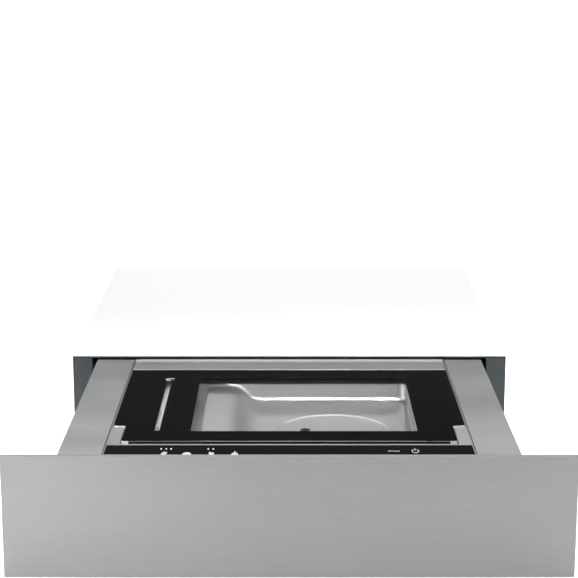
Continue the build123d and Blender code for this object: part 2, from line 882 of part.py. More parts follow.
with BuildPart() as chamber_cavity:
    with BuildSketch(across(chamber_rear)):
        with BuildLine():
            Line((shelf_left, cutter_top), (shelf_left, shelf_top))
            Line((shelf_left, shelf_top), (ramp_left, shelf_top))
            ramp(0, 0)
            Line((ramp_left + ramp_length, floor_top), (chamber_right, floor_top))
            Line((chamber_right, floor_top), (chamber_right, cutter_top))
            Line((chamber_right, cutter_top), (shelf_left, cutter_top))
        make_face()
    extrude(amount=chamber_rear - chamber_front)
    fillet(chamber_cavity.edges().filter_by(Axis.Z).group_by(Axis.X)[-1], chamber_corner)
    fillet(rim_edges(chamber_cavity), chamber_floor_radius)
    trough_x = (chamber_left, shelf_left)
    block(trough_x, (chamber_front, chamber_rear), (floor_top, cutter_top))
    fillet(chamber_cavity.edges().filter_by(Axis.Z).group_by(Axis.X)[0], trough_corner)

with BuildPart() as vacuum_chamber:
    with BuildSketch(across(chamber_rear + chamber_sheet)):
        with BuildLine():
            Line((wall_left, flange_top), (wall_left, floor_under))
            Line((wall_left, floor_under), (step_x, floor_under))
            Line((step_x, floor_under), (step_x, shelf_under))
            Line((step_x, shelf_under), (ramp_left + ramp_shift, shelf_under))
            ramp(ramp_shift, -chamber_sheet)
            Line((ramp_left + ramp_length + ramp_shift, floor_under), (wall_right, floor_under))
            Line((wall_right, floor_under), (wall_right, flange_top))
            Line((wall_right, flange_top), (wall_left, flange_top))
        make_face()
    extrude(amount=chamber_rear - chamber_front + 2 * chamber_sheet)
    outer_corners = vacuum_chamber.edges().filter_by(Axis.Z).group_by(Axis.X)[-1]
    fillet(outer_corners, chamber_corner + chamber_sheet)
    flange_rear = strip_front - hinge_foot - flange_foot_gap
    block(centred(0, 2 * deck_inner), (groove_front, flange_rear), (flange_under, flange_top))
    add(chamber_cavity.part, mode=Mode.SUBTRACT)
    with BuildSketch(across(ring_y)):
        with BuildLine():
            inner_foot = (ring_x + ring_radius - ring_width / 2, floor_top)
            outer_foot = (ring_x + ring_radius + ring_width / 2, floor_top)
            ThreePointArc(inner_foot, (ring_x + ring_radius, floor_top + ring_height), outer_foot)
            Line(outer_foot, inner_foot)
        make_face()
    revolve(axis=Axis((ring_x, ring_y, 0), (0, 0, 1)))
    for lift_x, lift_y in lift_places:
        hole_start = (lift_x, lift_y, floor_under)
        rod(hole_start, (0, 0, 1), lift_rod_radius + lift_fit, chamber_sheet, mode=Mode.SUBTRACT)
    rod((port_x, port_y, floor_under), (0, 0, 1), nipple_radius + lift_fit, chamber_sheet, mode=Mode.SUBTRACT)
    switch_hole = switch_plunger_radius + 2 * plunger_fit
    rod((switch_x, switch_y, flange_under), (0, 0, 1), switch_hole, chamber_sheet, mode=Mode.SUBTRACT)
vacuum_chamber.part.label = "vacuum_chamber"
export_step(vacuum_chamber.part, "parts/vacuum_chamber.step")

with BuildPart() as lid_gasket:
    ring_left = chamber_left - gasket_inset
    ring_right = chamber_right + gasket_inset
    ring_front = chamber_front - gasket_inset
    ring_rear = chamber_rear + gasket_inset
    ring_centre = ((ring_left + ring_right) / 2, (ring_front + ring_rear) / 2)
    ring_size = (ring_right - ring_left, ring_rear - ring_front)
    with BuildSketch(Plane.XY.offset(flange_top)):
        with Locations(ring_centre):
            RectangleRounded(
                ring_size[0] + 2 * gasket_width,
                ring_size[1] + 2 * gasket_width,
                chamber_corner + gasket_width,
            )
            RectangleRounded(ring_size[0], ring_size[1], chamber_corner, mode=Mode.SUBTRACT)
    extrude(amount=gasket_height)
    fillet(lid_gasket.faces().sort_by(Axis.Z)[-1].edges(), gasket_edge)
lid_gasket.part.label = "lid_gasket"
export_step(lid_gasket.part, "parts/lid_gasket.step")

with BuildPart() as suction_port:
    rod((port_x, port_y, floor_top), (0, 0, 1), port_cap_radius, port_cap_sheet)
    rod((port_x, port_y, floor_top), (0, 0, -1), nipple_radius, nipple_length + chamber_sheet)
    nipple_end = (port_x, port_y, floor_under - nipple_length)
    rod(nipple_end, (0, 0, 1), nipple_bore, nipple_length + chamber_sheet, mode=Mode.SUBTRACT)
    for slot_size in ((2 * nipple_radius, port_slot), (port_slot, 2 * nipple_radius)):
        block(
            centred(port_x, slot_size[0]),
            centred(port_y, slot_size[1]),
            (floor_top, floor_top + port_cap_sheet),
            mode=Mode.SUBTRACT,
        )
suction_port.part.label = "suction_port"
export_step(suction_port.part, "parts/suction_port.step")

# Sealing bar and its lifting cylinders
with BuildPart() as sealing_bar:
    block(centred(bar_x, bar_width), (bar_front, bar_rear), (bar_under, bar_top))
    chamfer(sealing_bar.edges().filter_by(Axis.Y).group_by(Axis.Z)[-1], bar_edge)
sealing_bar.part.label = "sealing_bar"
export_step(sealing_bar.part, "parts/sealing_bar.step")

with BuildPart() as heating_band:
    block(centred(bar_x, band_width), (bar_front, bar_rear), (bar_top, band_top))
heating_band.part.label = "heating_band"
export_step(heating_band.part, "parts/heating_band.step")

cylinder_under = floor_under - lift_cylinder_height
cylinder_bore_top = floor_under - lift_cylinder_cap
piston_under = cylinder_under + 2 * lift_cylinder_wall

with BuildPart() as lift_cylinders:
    for lift_x, lift_y in lift_places:
        foot_point = (lift_x, lift_y, cylinder_under)
        rod(foot_point, (0, 0, 1), lift_cylinder_radius, lift_cylinder_height)
        bore_foot = (lift_x, lift_y, cylinder_under + lift_cylinder_wall)
        bore_height = cylinder_bore_top - bore_foot[2]
        rod(bore_foot, (0, 0, 1), lift_piston_radius + lift_fit, bore_height, mode=Mode.SUBTRACT)
        neck_foot = (lift_x, lift_y, cylinder_bore_top)
        rod(neck_foot, (0, 0, 1), lift_rod_radius + lift_fit, lift_cylinder_cap, mode=Mode.SUBTRACT)
lift_cylinders.part.label = "lift_cylinders"
export_step(lift_cylinders.part, "parts/lift_cylinders.step")

with BuildPart() as lift_rods:
    for lift_x, lift_y in lift_places:
        rod((lift_x, lift_y, piston_under), (0, 0, 1), lift_piston_radius, lift_piston_height)
        rod((lift_x, lift_y, piston_under), (0, 0, 1), lift_rod_radius, bar_under - piston_under)
lift_rods.part.label = "lift_rods"
export_step(lift_rods.part, "parts/lift_rods.step")


# Lid
def lid_outline(inset):
    """Draw the lid's outline, notched at both front corners and drawn in by inset, as a face."""
    wide = lid_half - inset
    narrow = notch_half - inset
    rear = lid_rear - inset
    step = notch_rear + inset
    front = lid_front + inset
    corners = [
        (-wide, rear),
        (wide, rear),
        (wide, step),
        (narrow, step),
        (narrow, front),
        (-narrow, front),
        (-narrow, step),
        (-wide, step),
    ]
    outer = notch_outer_radius
    inner = notch_inner_radius
    with BuildLine() as outline:
        FilletPolyline(
            *corners,
            radius=[lid_rear_radius, lid_rear_radius, outer, inner, outer, outer, inner, outer],
            close=True,
        )
    make_face(outline.edges())


with BuildPart() as lid_glass:
    with BuildSketch(Plane.XY.offset(glass_under)):
        lid_outline(0)
    extrude(amount=lid_glass_sheet)
    chamfer(lid_glass.faces().sort_by(Axis.Z)[-1].edges(), lid_edge)
lid_glass.part.label = "lid_glass"
export_step(lid_glass.part, "parts/lid_glass.step")

window_front = lid_front + window_front_margin
window_rear = lid_rear - window_rear_margin
slot_front = lid_front + slot_front_margin
slot_rear = lid_rear - slot_rear_margin

with BuildPart() as lid_print:
    with BuildSketch(Plane.XY.offset(glass_top)):
        lid_outline(lid_edge)
        with Locations(((window_left + window_right) / 2, (window_front + window_rear) / 2)):
            RectangleRounded(
                window_right - window_left,
                window_rear - window_front,
                window_radius,
                mode=Mode.SUBTRACT,
            )
        with Locations((bar_x, (slot_front + slot_rear) / 2)):
            Rectangle(slot_width, slot_rear - slot_front, mode=Mode.SUBTRACT)
    extrude(amount=lid_print_sheet)
lid_print.part.label = "lid_print"
export_step(lid_print.part, "parts/lid_print.step")

hinge_half = deck_inner - hinge_side_gap
ear_outer = hinge_half
ear_inner = ear_outer - ear_sheet
block_outer = ear_inner - ear_gap
strip_under = drawer_top - hinge_strip_sheet

with BuildPart() as hinge_strip:
    strip_x = centred(0, 2 * hinge_half)
    block(strip_x, (strip_front, strip_rear), (strip_under, drawer_top))
    fillet(hinge_strip.edges().filter_by(Axis.X).group_by(Axis.Z)[-1], hinge_strip_bend)
    inner_x = centred(0, 2 * block_outer)
    block(inner_x, (strip_front, strip_front + hinge_web), (glass_under - hinge_foot_height, strip_under))
    block(inner_x, (strip_front - hinge_foot, strip_front), (glass_under - hinge_foot_height, glass_under))
    block(inner_x, (strip_rear - hinge_strip_sheet, strip_rear), (drawer_top - hinge_skirt, strip_under))
    for side_name, side in SIDES:
        block_x = (side * (block_outer - hinge_block_width), side * block_outer)
        block_z = (hinge_z - hinge_block_drop, strip_under)
        block(block_x, centred(hinge_y, hinge_block_depth), block_z)
        bore_start = (side * (block_outer - hinge_block_width), hinge_y, hinge_z)
        rod(bore_start, (side, 0, 0), hinge_pin_radius, hinge_block_width, mode=Mode.SUBTRACT)
hinge_strip.part.label = "hinge_strip"
export_step(hinge_strip.part, "parts/hinge_strip.step")

with BuildPart() as hinge_pins:
    for side_name, side in SIDES:
        pin_start = (side * (ear_outer - hinge_pin_length), hinge_y, hinge_z)
        rod(pin_start, (side, 0, 0), hinge_pin_radius, hinge_pin_length)
hinge_pins.part.label = "hinge_pins"
export_step(hinge_pins.part, "parts/hinge_pins.step")

with BuildPart() as hinge_brackets:
    for side_name, side in SIDES:
        ear_x = (side * ear_inner, side * ear_outer)
        ear_y = centred(hinge_y, 2 * ear_radius)
        block(ear_x, ear_y, (crossrail_top, hinge_z))
        rod((side * ear_inner, hinge_y, hinge_z), (side, 0, 0), ear_radius, ear_sheet)
        foot_x = (side * (ear_outer - ear_foot_length), side * ear_outer)
        foot_y = centred(hinge_y, ear_foot_depth)
        block(foot_x, foot_y, (crossrail_top, crossrail_top + ear_foot_sheet))
        bore_start = (side * ear_inner, hinge_y, hinge_z)
        rod(bore_start, (side, 0, 0), hinge_pin_radius + hinge_pin_fit, ear_sheet, mode=Mode.SUBTRACT)
hinge_brackets.part.label = "hinge_brackets"
export_step(hinge_brackets.part, "parts/hinge_brackets.step")

counter_bar_y = (slot_front - counter_bar_lap, chamber_rear - counter_bar_rear_gap)

with BuildPart() as counter_bar:
    block(
        centred(bar_x, counter_bar_width),
        counter_bar_y,
        (glass_under - counter_bar_height, glass_under),
    )
counter_bar.part.label = "counter_bar"
export_step(counter_bar.part, "parts/counter_bar.step")

with BuildPart() as counter_seal:
    block(
        centred(bar_x, counter_seal_width),
        counter_bar_y,
        (counter_seal_under, counter_seal_under + counter_seal_height),
    )
counter_seal.part.label = "counter_seal"
export_step(counter_seal.part, "parts/counter_seal.step")

# Control strip
control_half = cover_inner - control_side_gap
tray_half = deck_half - tray_side_gap
tray_front = panel_back + chassis_sheet + tray_front_gap
tray_rear = deck_front - tray_rear_gap
board_under = tray_under + tray_wall + board_rise

with BuildPart() as control_glass:
    block(centred(0, 2 * control_half), (control_front, control_rear), (control_under, drawer_top))
    chamfer(control_glass.faces().sort_by(Axis.Z)[-1].edges(), control_edge)
control_glass.part.label = "control_glass"
export_step(control_glass.part, "parts/control_glass.step")

with BuildPart() as control_tray:
    block(centred(0, 2 * tray_half), (tray_front, tray_rear), (tray_under, control_under))
    block(
        centred(0, 2 * (tray_half - tray_wall)),
        (tray_front + tray_wall, tray_rear - tray_wall),
        (tray_under + tray_wall, control_under),
        mode=Mode.SUBTRACT,
    )
    for boss_x in centred(0, 2 * (tray_half - 3 * tray_wall)):
        for boss_y in (tray_front + 3 * tray_wall, tray_rear - 3 * tray_wall):
            rod((boss_x, boss_y, tray_under + tray_wall), (0, 0, 1), tray_wall, board_rise)
control_tray.part.label = "control_tray"
export_step(control_tray.part, "parts/control_tray.step")

with BuildPart() as control_board:
    board_inset = tray_wall + board_gap
    board_x = centred(0, 2 * (tray_half - board_inset))
    board_y = (tray_front + board_inset, tray_rear - board_inset)
    block(board_x, board_y, (board_under, board_under + board_sheet))
    for key_x in key_places:
        key_foot = (key_x, (board_y[0] + board_y[1]) / 2, board_under + board_sheet)
        rod(key_foot, (0, 0, 1), key_radius, control_under - key_foot[2])
control_board.part.label = "control_board"
export_step(control_board.part, "parts/control_board.step")

# Lid switch under the chamber's flange
with BuildPart() as lid_switch:
    block(
        centred(switch_x, switch_body[0]),
        centred(switch_y, switch_body[1]),
        (flange_under - switch_body[2], flange_under),
    )
    rod(
        (switch_x, switch_y, flange_under),
        (0, 0, -1),
        switch_plunger_radius + plunger_fit,
        switch_bore_depth,
        mode=Mode.SUBTRACT,
    )
lid_switch.part.label = "lid_switch"
export_step(lid_switch.part, "parts/lid_switch.step")

with BuildPart() as lid_switch_plunger:
    plunger_top = (switch_x, switch_y, glass_under - switch_touch_gap)
    rod(plunger_top, (0, 0, -1), switch_plunger_radius, switch_plunger_length)
    fillet(lid_switch_plunger.edges().sort_by(Axis.Z)[-1], switch_plunger_radius / 2)
lid_switch_plunger.part.label = "lid_switch_plunger"
export_step(lid_switch_plunger.part, "parts/lid_switch_plunger.step")

# Motor and rotary vane pump
with BuildPart() as motor_housing:
    rod((motor_left, pump_y, pump_z), (1, 0, 0), motor_radius, motor_length)
    hollow_start = (motor_left + motor_wall, pump_y, pump_z)
    hollow_length = motor_length - 2 * motor_wall
    rod(hollow_start, (1, 0, 0), motor_radius - motor_wall, hollow_length, mode=Mode.SUBTRACT)
    stator_start = (motor_left + (motor_length - stator_length) / 2, pump_y, pump_z)
    rod(stator_start, (1, 0, 0), motor_radius - motor_wall, stator_length)
    rod(stator_start, (1, 0, 0), stator_radius, stator_length, mode=Mode.SUBTRACT)
    rod((motor_left, pump_y, pump_z), (1, 0, 0), shaft_radius + shaft_fit, motor_length, mode=Mode.SUBTRACT)
motor_housing.part.label = "motor_housing"
export_step(motor_housing.part, "parts/motor_housing.step")

with BuildPart() as motor_shaft:
    shaft_start = (motor_left - shaft_overhang, pump_y, pump_z)
    shaft_end = pump_right + bearing_depth - shaft_end_gap
    rod(shaft_start, (1, 0, 0), shaft_radius, shaft_end - shaft_start[0])
    rotor_start = (motor_left + (motor_length - rotor_length) / 2, pump_y, pump_z)
    rod(rotor_start, (1, 0, 0), stator_radius - rotor_gap, rotor_length)
motor_shaft.part.label = "motor_shaft"
export_step(motor_shaft.part, "parts/motor_shaft.step")

cavity_left = motor_right + pump_wall

port_places = [pump_y + way * pump_port_spacing / 2 for way in (-1, 1)]

with BuildPart() as pump_body:
    rod((motor_right, pump_y, pump_z), (1, 0, 0), motor_radius, pump_length + end_cover_sheet)
    cavity_start = (cavity_left, pump_y, pump_z - pump_cavity_drop)
    rod(cavity_start, (1, 0, 0), pump_cavity_radius, pump_length - pump_wall, mode=Mode.SUBTRACT)
    for port_at in port_places:
        rod((end_cover_right, port_at, pump_z), (1, 0, 0), nipple_radius, pump_port_length)
        bore_length = end_cover_sheet + pump_port_length
        rod((pump_right, port_at, pump_z), (1, 0, 0), nipple_bore, bore_length, mode=Mode.SUBTRACT)
    bearing_end = pump_right + bearing_depth
    rod(
        (motor_right, pump_y, pump_z),
        (1, 0, 0),
        shaft_radius + shaft_fit,
        bearing_end - motor_right,
        mode=Mode.SUBTRACT,
    )
pump_body.part.label = "pump_body"
export_step(pump_body.part, "parts/pump_body.step")

rotor_left = cavity_left + pump_face_gap
rotor_width = pump_right - pump_face_gap - rotor_left
vane_root = pump_rotor_radius - vane_tip_gap - vane_height
slot_sheet = vane_sheet + 2 * vane_fit

with BuildPart() as pump_rotor:
    rod((rotor_left, pump_y, pump_z), (1, 0, 0), pump_rotor_radius, rotor_width)
    rod((rotor_left, pump_y, pump_z), (1, 0, 0), shaft_radius, rotor_width, mode=Mode.SUBTRACT)
    with Locations(Plane(origin=(rotor_left + rotor_width / 2, pump_y, pump_z), z_dir=(1, 0, 0))):
        with PolarLocations(0, vane_count):
            with Locations((vane_root - vane_fit + pump_rotor_radius / 2, 0, 0)):
                Box(pump_rotor_radius, slot_sheet, rotor_width, mode=Mode.SUBTRACT)
pump_rotor.part.label = "pump_rotor"
export_step(pump_rotor.part, "parts/pump_rotor.step")

with BuildPart() as pump_vanes:
    with Locations(Plane(origin=(rotor_left + rotor_width / 2, pump_y, pump_z), z_dir=(1, 0, 0))):
        with PolarLocations(vane_root + vane_height / 2, vane_count):
            Box(vane_height, vane_sheet, rotor_width)
pump_vanes.part.label = "pump_vanes"
export_step(pump_vanes.part, "parts/pump_vanes.step")

with BuildPart() as pump_base:
    base_left = motor_left + pump_foot_margin
    base_right = pump_right - pump_foot_margin
    base_top = bay_floor + buffer_height + pump_foot_sheet
    base_y = centred(pump_y, pump_foot_depth)
    block((base_left, base_right), base_y, (bay_floor + buffer_height, base_top))
    for saddle_left in (base_left + saddle_inset, base_right - saddle_inset - saddle_width):
        block(
            (saddle_left, saddle_left + saddle_width),
            centred(pump_y, saddle_depth),
            (base_top, pump_z - motor_radius / 2),
        )
    rod((base_left, pump_y, pump_z), (1, 0, 0), motor_radius, base_right - base_left, mode=Mode.SUBTRACT)
    for foot_x in (base_left + 2 * buffer_radius, base_right - 2 * buffer_radius):
        for foot_y in centred(pump_y, pump_foot_depth - 3 * buffer_radius):
            rod((foot_x, foot_y, bay_floor), (0, 0, 1), buffer_radius, buffer_height)
pump_base.part.label = "pump_base"
export_step(pump_base.part, "parts/pump_base.step")

# Valve block and hoses
valve_ports = (
    (valve_left + valve_port_inset, bay_floor + hose_low_rise),
    (valve_left + valve_width - valve_port_inset, pump_z),
)

with BuildPart() as valve_block:
    valve_top = bay_floor + valve_height
    valve_y = (valve_front, valve_front + valve_depth)
    block((valve_left, valve_left + valve_width), valve_y, (bay_floor, valve_top))
    for port_at, port_z in valve_ports:
        rod((port_at, valve_front, port_z), (0, -1, 0), nipple_radius, valve_port_length)
        bore_start = (port_at, valve_front - valve_port_length, port_z)
        rod(bore_start, (0, 1, 0), nipple_bore, 2 * valve_port_length, mode=Mode.SUBTRACT)
        coil_foot = (port_at, valve_front + valve_depth / 2, valve_top)
        rod(coil_foot, (0, 0, 1), solenoid_radius, solenoid_height)
valve_block.part.label = "valve_block"
export_step(valve_block.part, "parts/valve_block.step")

hose_back = valve_front - valve_port_length + hose_lap
chamber_hose_route = [
    (port_x, port_y, floor_under - nipple_length + hose_lap),
    (port_x, port_y, valve_ports[0][1]),
    (valve_ports[0][0], port_y, valve_ports[0][1]),
    (valve_ports[0][0], hose_back, valve_ports[0][1]),
]
pump_hose_route = [
    (end_cover_right + pump_port_length - hose_lap, port_places[1], pump_z),
    (valve_ports[1][0], port_places[1], valve_ports[1][1]),
    (valve_ports[1][0], hose_back, valve_ports[1][1]),
]


def hose(route):
    """Join a hose that follows the route in straight runs and arcs."""
    start = Vector(*route[0])
    with BuildLine() as path:
        FilletPolyline(*route, radius=hose_bend)
    with BuildSketch(Plane(origin=start, z_dir=Vector(*route[1]) - start)) as section:
        Circle(hose_radius)
        Circle(hose_bore, mode=Mode.SUBTRACT)
    sweep(section.sketch, path=path.wires()[0])


with BuildPart() as vacuum_hoses:
    hose(chamber_hose_route)
    hose(pump_hose_route)
vacuum_hoses.part.label = "vacuum_hoses"
export_step(vacuum_hoses.part, "parts/vacuum_hoses.step")

# Transformer, board and fan in the bay behind the chamber
core_y = (transformer_front, transformer_front + core_depth)
core_z = (bay_floor + core_foot_sheet, bay_floor + core_foot_sheet + core_height)
window_z = (core_z[0] + core_leg, core_z[1] - core_leg)

with BuildPart() as transformer_core:
    block(centred(transformer_x, core_width), core_y, core_z)
    for way in (-1, 1):
        window_x = (transformer_x + way * core_leg, transformer_x + way * (core_leg + core_window))
        block(window_x, core_y, window_z, mode=Mode.SUBTRACT)
    block(centred(transformer_x, core_width + 2 * core_foot_reach), core_y, (bay_floor, core_z[0]))

with BuildPart() as transformer_coil:
    coil_z = (window_z[0] + coil_fit, window_z[1] - coil_fit)
    coil_y = (core_y[0] - coil_overhang, core_y[1] + coil_overhang)
    block(centred(transformer_x, 2 * (core_leg + core_window - coil_fit)), coil_y, coil_z)
    fillet(transformer_coil.edges().filter_by(Axis.Z), coil_corner)
    leg_x = centred(transformer_x, 2 * (core_leg + coil_fit))
    block(leg_x, (core_y[0] - coil_fit, core_y[1] + coil_fit), coil_z, mode=Mode.SUBTRACT)

with BuildPart() as transformer:
    add(transformer_core.part)
    add(transformer_coil.part)
transformer.part.label = "transformer"
export_step(transformer.part, "parts/transformer.step")

with BuildPart() as main_board:
    board_x = (main_board_left, main_board_left + main_board_width)
    board_y = (main_board_front, main_board_front + main_board_depth)
    board_z = bay_floor + standoff_height
    board_top = board_z + board_sheet
    block(board_x, board_y, (board_z, board_top))
    for post_x in (board_x[0] + standoff_inset, board_x[1] - standoff_inset):
        for post_y in (board_y[0] + standoff_inset, board_y[1] - standoff_inset):
            rod((post_x, post_y, bay_floor), (0, 0, 1), standoff_radius, standoff_height)
    for i in range(capacitor_count):
        can_x = board_x[0] + capacitor_left + i * capacitor_pitch
        can_foot = (can_x, board_y[0] + capacitor_set_back, board_top)
        rod(can_foot, (0, 0, 1), capacitor_radius, capacitor_height)
    sink_right = board_x[1] - heat_sink_margin[0]
    sink_front = board_y[0] + heat_sink_margin[1]
    block(
        (sink_right - heat_sink_size[0], sink_right),
        (sink_front, sink_front + heat_sink_size[1]),
        (board_top, board_top + heat_sink_size[2]),
    )
    for i in range(relay_count):
        relay_x = board_x[0] + relay_left + i * relay_pitch
        relay_rear = board_y[1] - relay_margin
        block(
            (relay_x, relay_x + relay_size[0]),
            (relay_rear - relay_size[1], relay_rear),
            (board_top, board_top + relay_size[2]),
        )
main_board.part.label = "main_board"
export_step(main_board.part, "parts/main_board.step")

fan_hub_front = chassis_inner_back - fan_hub_sheet

with BuildPart() as cooling_fan_frame:
    block(centred(0, fan_size), (fan_front, chassis_inner_back), centred(fan_height, fan_size))
    rod((0, fan_front, fan_height), (0, 1, 0), fan_bore, fan_depth, mode=Mode.SUBTRACT)
    fillet(cooling_fan_frame.edges().filter_by(Axis.Y).filter_by(GeomType.LINE), fan_corner)
    rod((0, fan_hub_front, fan_height), (0, 1, 0), fan_hub_radius, fan_hub_sheet)
    with Locations(Plane(origin=(0, fan_hub_front + fan_hub_sheet / 2, fan_height), z_dir=(0, 1, 0))):
        spoke_middle = (fan_bore + fan_hub_radius) / 2
        with PolarLocations(spoke_middle, fan_spoke_count, start_angle=fan_spoke_start):
            Box(fan_bore - fan_hub_radius + 2 * fan_lap, fan_spoke_width, fan_hub_sheet)
    spindle_front = fan_front + fan_face_gap + fan_spindle_end + fan_spindle_gap
    spindle_length = fan_hub_front - spindle_front
    rod((0, spindle_front, fan_height), (0, 1, 0), fan_spindle_radius, spindle_length)
cooling_fan_frame.part.label = "cooling_fan_frame"
export_step(cooling_fan_frame.part, "parts/cooling_fan_frame.step")

with BuildPart() as cooling_fan_rotor:
    hub_start = fan_front + fan_face_gap
    hub_length = fan_hub_front - fan_face_gap - hub_start
    rod((0, hub_start, fan_height), (0, 1, 0), fan_hub_radius, hub_length)
    blade_tip = fan_bore - fan_tip_gap
    blade_length = blade_tip - fan_hub_radius + fan_lap
    with Locations(Plane(origin=(0, hub_start + hub_length / 2, fan_height), z_dir=(0, 1, 0))):
        with PolarLocations(blade_tip - blade_length / 2, fan_blade_count):
            with Locations(Location((0, 0, 0), (fan_blade_pitch, 0, 0))):
                Box(blade_length, fan_blade_sheet, fan_blade_chord)
    hub_end = (0, hub_start + hub_length, fan_height)
    bore_length = hub_length - fan_spindle_end
    rod(hub_end, (0, -1, 0), fan_spindle_radius + shaft_fit, bore_length, mode=Mode.SUBTRACT)
cooling_fan_rotor.part.label = "cooling_fan_rotor"
export_step(cooling_fan_rotor.part, "parts/cooling_fan_rotor.step")
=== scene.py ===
"""The looks of a built-in vacuum sealing drawer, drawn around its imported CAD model.

Metres. X runs to the right, Y runs back into the cabinet and Z runs up, as in the CAD model.
"""

from math import cos, radians, sin

import bmesh
import bpy
from mathutils import Matrix, Vector


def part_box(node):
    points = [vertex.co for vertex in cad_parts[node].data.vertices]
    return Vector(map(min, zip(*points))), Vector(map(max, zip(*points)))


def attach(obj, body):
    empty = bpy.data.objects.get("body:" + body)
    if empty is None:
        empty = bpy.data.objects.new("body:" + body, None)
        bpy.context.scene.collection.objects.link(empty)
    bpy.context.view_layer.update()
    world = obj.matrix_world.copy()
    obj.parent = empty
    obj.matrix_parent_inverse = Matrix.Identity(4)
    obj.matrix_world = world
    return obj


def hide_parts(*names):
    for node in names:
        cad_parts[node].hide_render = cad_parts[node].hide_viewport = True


bl_info = {
    "name": "Vacuum sealing drawer",
    "version": (1, 0, 0),
    "blender": (4, 5, 0),
    "location": "View3D > Sidebar > Drawer",
    "description": "Finishes, edges, key symbols and a studio stage for a vacuum sealing drawer",
    "category": "Object",
}

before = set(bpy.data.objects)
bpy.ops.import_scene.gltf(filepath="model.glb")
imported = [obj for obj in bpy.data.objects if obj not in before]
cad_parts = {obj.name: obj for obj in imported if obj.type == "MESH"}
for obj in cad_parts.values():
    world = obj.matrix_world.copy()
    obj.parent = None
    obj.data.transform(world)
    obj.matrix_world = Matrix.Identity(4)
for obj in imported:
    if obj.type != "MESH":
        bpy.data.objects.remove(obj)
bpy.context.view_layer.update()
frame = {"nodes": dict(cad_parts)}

MM = 0.001
# The CAD meshes are loose triangles. Vertices this close are one, and so are faces that turn less than this.
WELD = 1e-6
FLAT = radians(0.4)
# Edges that turn further than this are sharp, and get a bevel.
SHARP = radians(38)
# Where the scene's own pieces stand on the CAD model.
KEY_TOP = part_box("control_glass")[1][2]
LID_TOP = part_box("lid_print")[1][2]
WALLS = (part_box("side_wall_left")[0][0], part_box("side_wall_right")[1][0])


def linear(colour):
    """An sRGB hex colour as linear red, green and blue, with an alpha of 1."""
    shares = [int(colour[i : i + 2], 16) / 255 for i in (1, 3, 5)]
    return [c / 12.92 if c <= 0.04045 else ((c + 0.055) / 1.055) ** 2.4 for c in shares] + [1.0]


def tint(name, description, colour):
    """A colour property that a user may change."""
    return bpy.props.FloatVectorProperty(
        name=name, description=description, subtype="COLOR", size=4, min=0, max=1, default=linear(colour)
    )


def length(name, description, default):
    """A length property that a user may change, in metres."""
    return bpy.props.FloatProperty(
        name=name, description=description, unit="LENGTH", min=0, default=default, precision=5
    )


class DrawerSizes(bpy.types.PropertyGroup):
    """Sizes that the scene adds to the CAD model."""

    sheet_edge: length("Sheet edge", "Radius on the edges of folded and cut steel sheet", 0.35 * MM)
    fine_edge: length("Fine edge", "Radius on the edges of the deck and the touch strip", 0.12 * MM)
    glass_edge: length("Glass edge", "Width of the ground bevel around the glass", 0.5 * MM)
    fold_groove: length("Fold groove", "Depth of the groove under the frame's top fold", 1.5 * MM)
    strip_rise: length("Strip rise", "How far the hinge strip's rear band stands up", 1.0 * MM)
    symbol_line: length("Symbol line", "Line width of the round key symbol", 0.9 * MM)
    symbol_proud: length("Symbol thickness", "Thickness of the printed key symbols", 0.04 * MM)
    case_screw: length("Case screw", "Head radius of the screws that close the housing", 3.4 * MM)


class DrawerColours(bpy.types.PropertyGroup):
    """Colours of the visible finishes."""

    steel: tint("Steel", "Brushed stainless steel of the front and the covers", "#B7B8B8")
    chamber: tint("Chamber", "Pressed stainless steel of the vacuum chamber", "#D8D8D8")
    frame: tint("Frame", "Painted steel frame around the drawer opening", "#34393C")
    casing: tint("Casing", "Powder coat of the housing", "#FEFEFE")
    black: tint("Black", "Fired black print on the lid glass", "#0B0B0C")
    symbols: tint("Symbols", "Printed key symbols on the control strip", "#D9DCDD")
    floor: tint("Floor", "Studio floor", "#F4F4F4")


def node(tree, kind, settings=None, sockets=None):
    """Add one node. Settings are its own options, and a socket takes a value or another node's output."""
    made = tree.nodes.new(kind)
    for name, value in (settings or {}).items():
        setattr(made, name, value)
    for name, value in (sockets or {}).items():
        if isinstance(value, bpy.types.NodeSocket):
            tree.links.new(value, made.inputs[name])
        else:
            made.inputs[name].default_value = value
    return made


def start(name):
    """A material with an empty node tree, and the Object coordinates in it."""
    made = bpy.data.materials.new(name)
    made.use_nodes = True
    made.node_tree.nodes.clear()
    return made, made.node_tree, node(made.node_tree, "ShaderNodeTexCoord").outputs["Object"]


def grain(tree, place, spacing, low=0.0, high=1.0, detail=3.0):
    """Noise whose marks are spacing millimetres long on each axis, spread from low to high."""
    scale = [1000 / mm for mm in spacing]
    mapped = node(tree, "ShaderNodeMapping", None, {"Vector": place, "Scale": scale}).outputs[0]
    sockets = {"Vector": mapped, "Scale": 1.0, "Detail": detail, "Roughness": 0.6}
    noise = node(tree, "ShaderNodeTexNoise", None, sockets).outputs["Fac"]
    # Nearly all of the noise lies in the middle half of its range.
    ends = {"From Min": 0.25, "From Max": 0.75, "To Min": low, "To Max": high}
    return node(tree, "ShaderNodeMapRange", None, {"Value": noise, **ends}).outputs[0]


def within(tree, place, slabs):
    """1 inside any slab, else 0. A slab is an axis and its two limits in millimetres."""
    parts = node(tree, "ShaderNodeSeparateXYZ", None, {0: place}).outputs
    mask = None
    for axis, low, high in slabs:
        sockets = {0: parts[axis], 1: (low + high) / 2 * MM, 2: (high - low) / 2 * MM}
        hit = node(tree, "ShaderNodeMath", {"operation": "COMPARE"}, sockets).outputs[0]
        if mask:
            hit = node(tree, "ShaderNodeMath", {"operation": "MAXIMUM"}, {0: mask, 1: hit}).outputs[0]
        mask = hit
    return mask


def scaled(colour, share):
    """A linear colour made darker or lighter, with its alpha kept."""
    return [min(1.0, c * share) for c in colour[:3]] + [1.0]


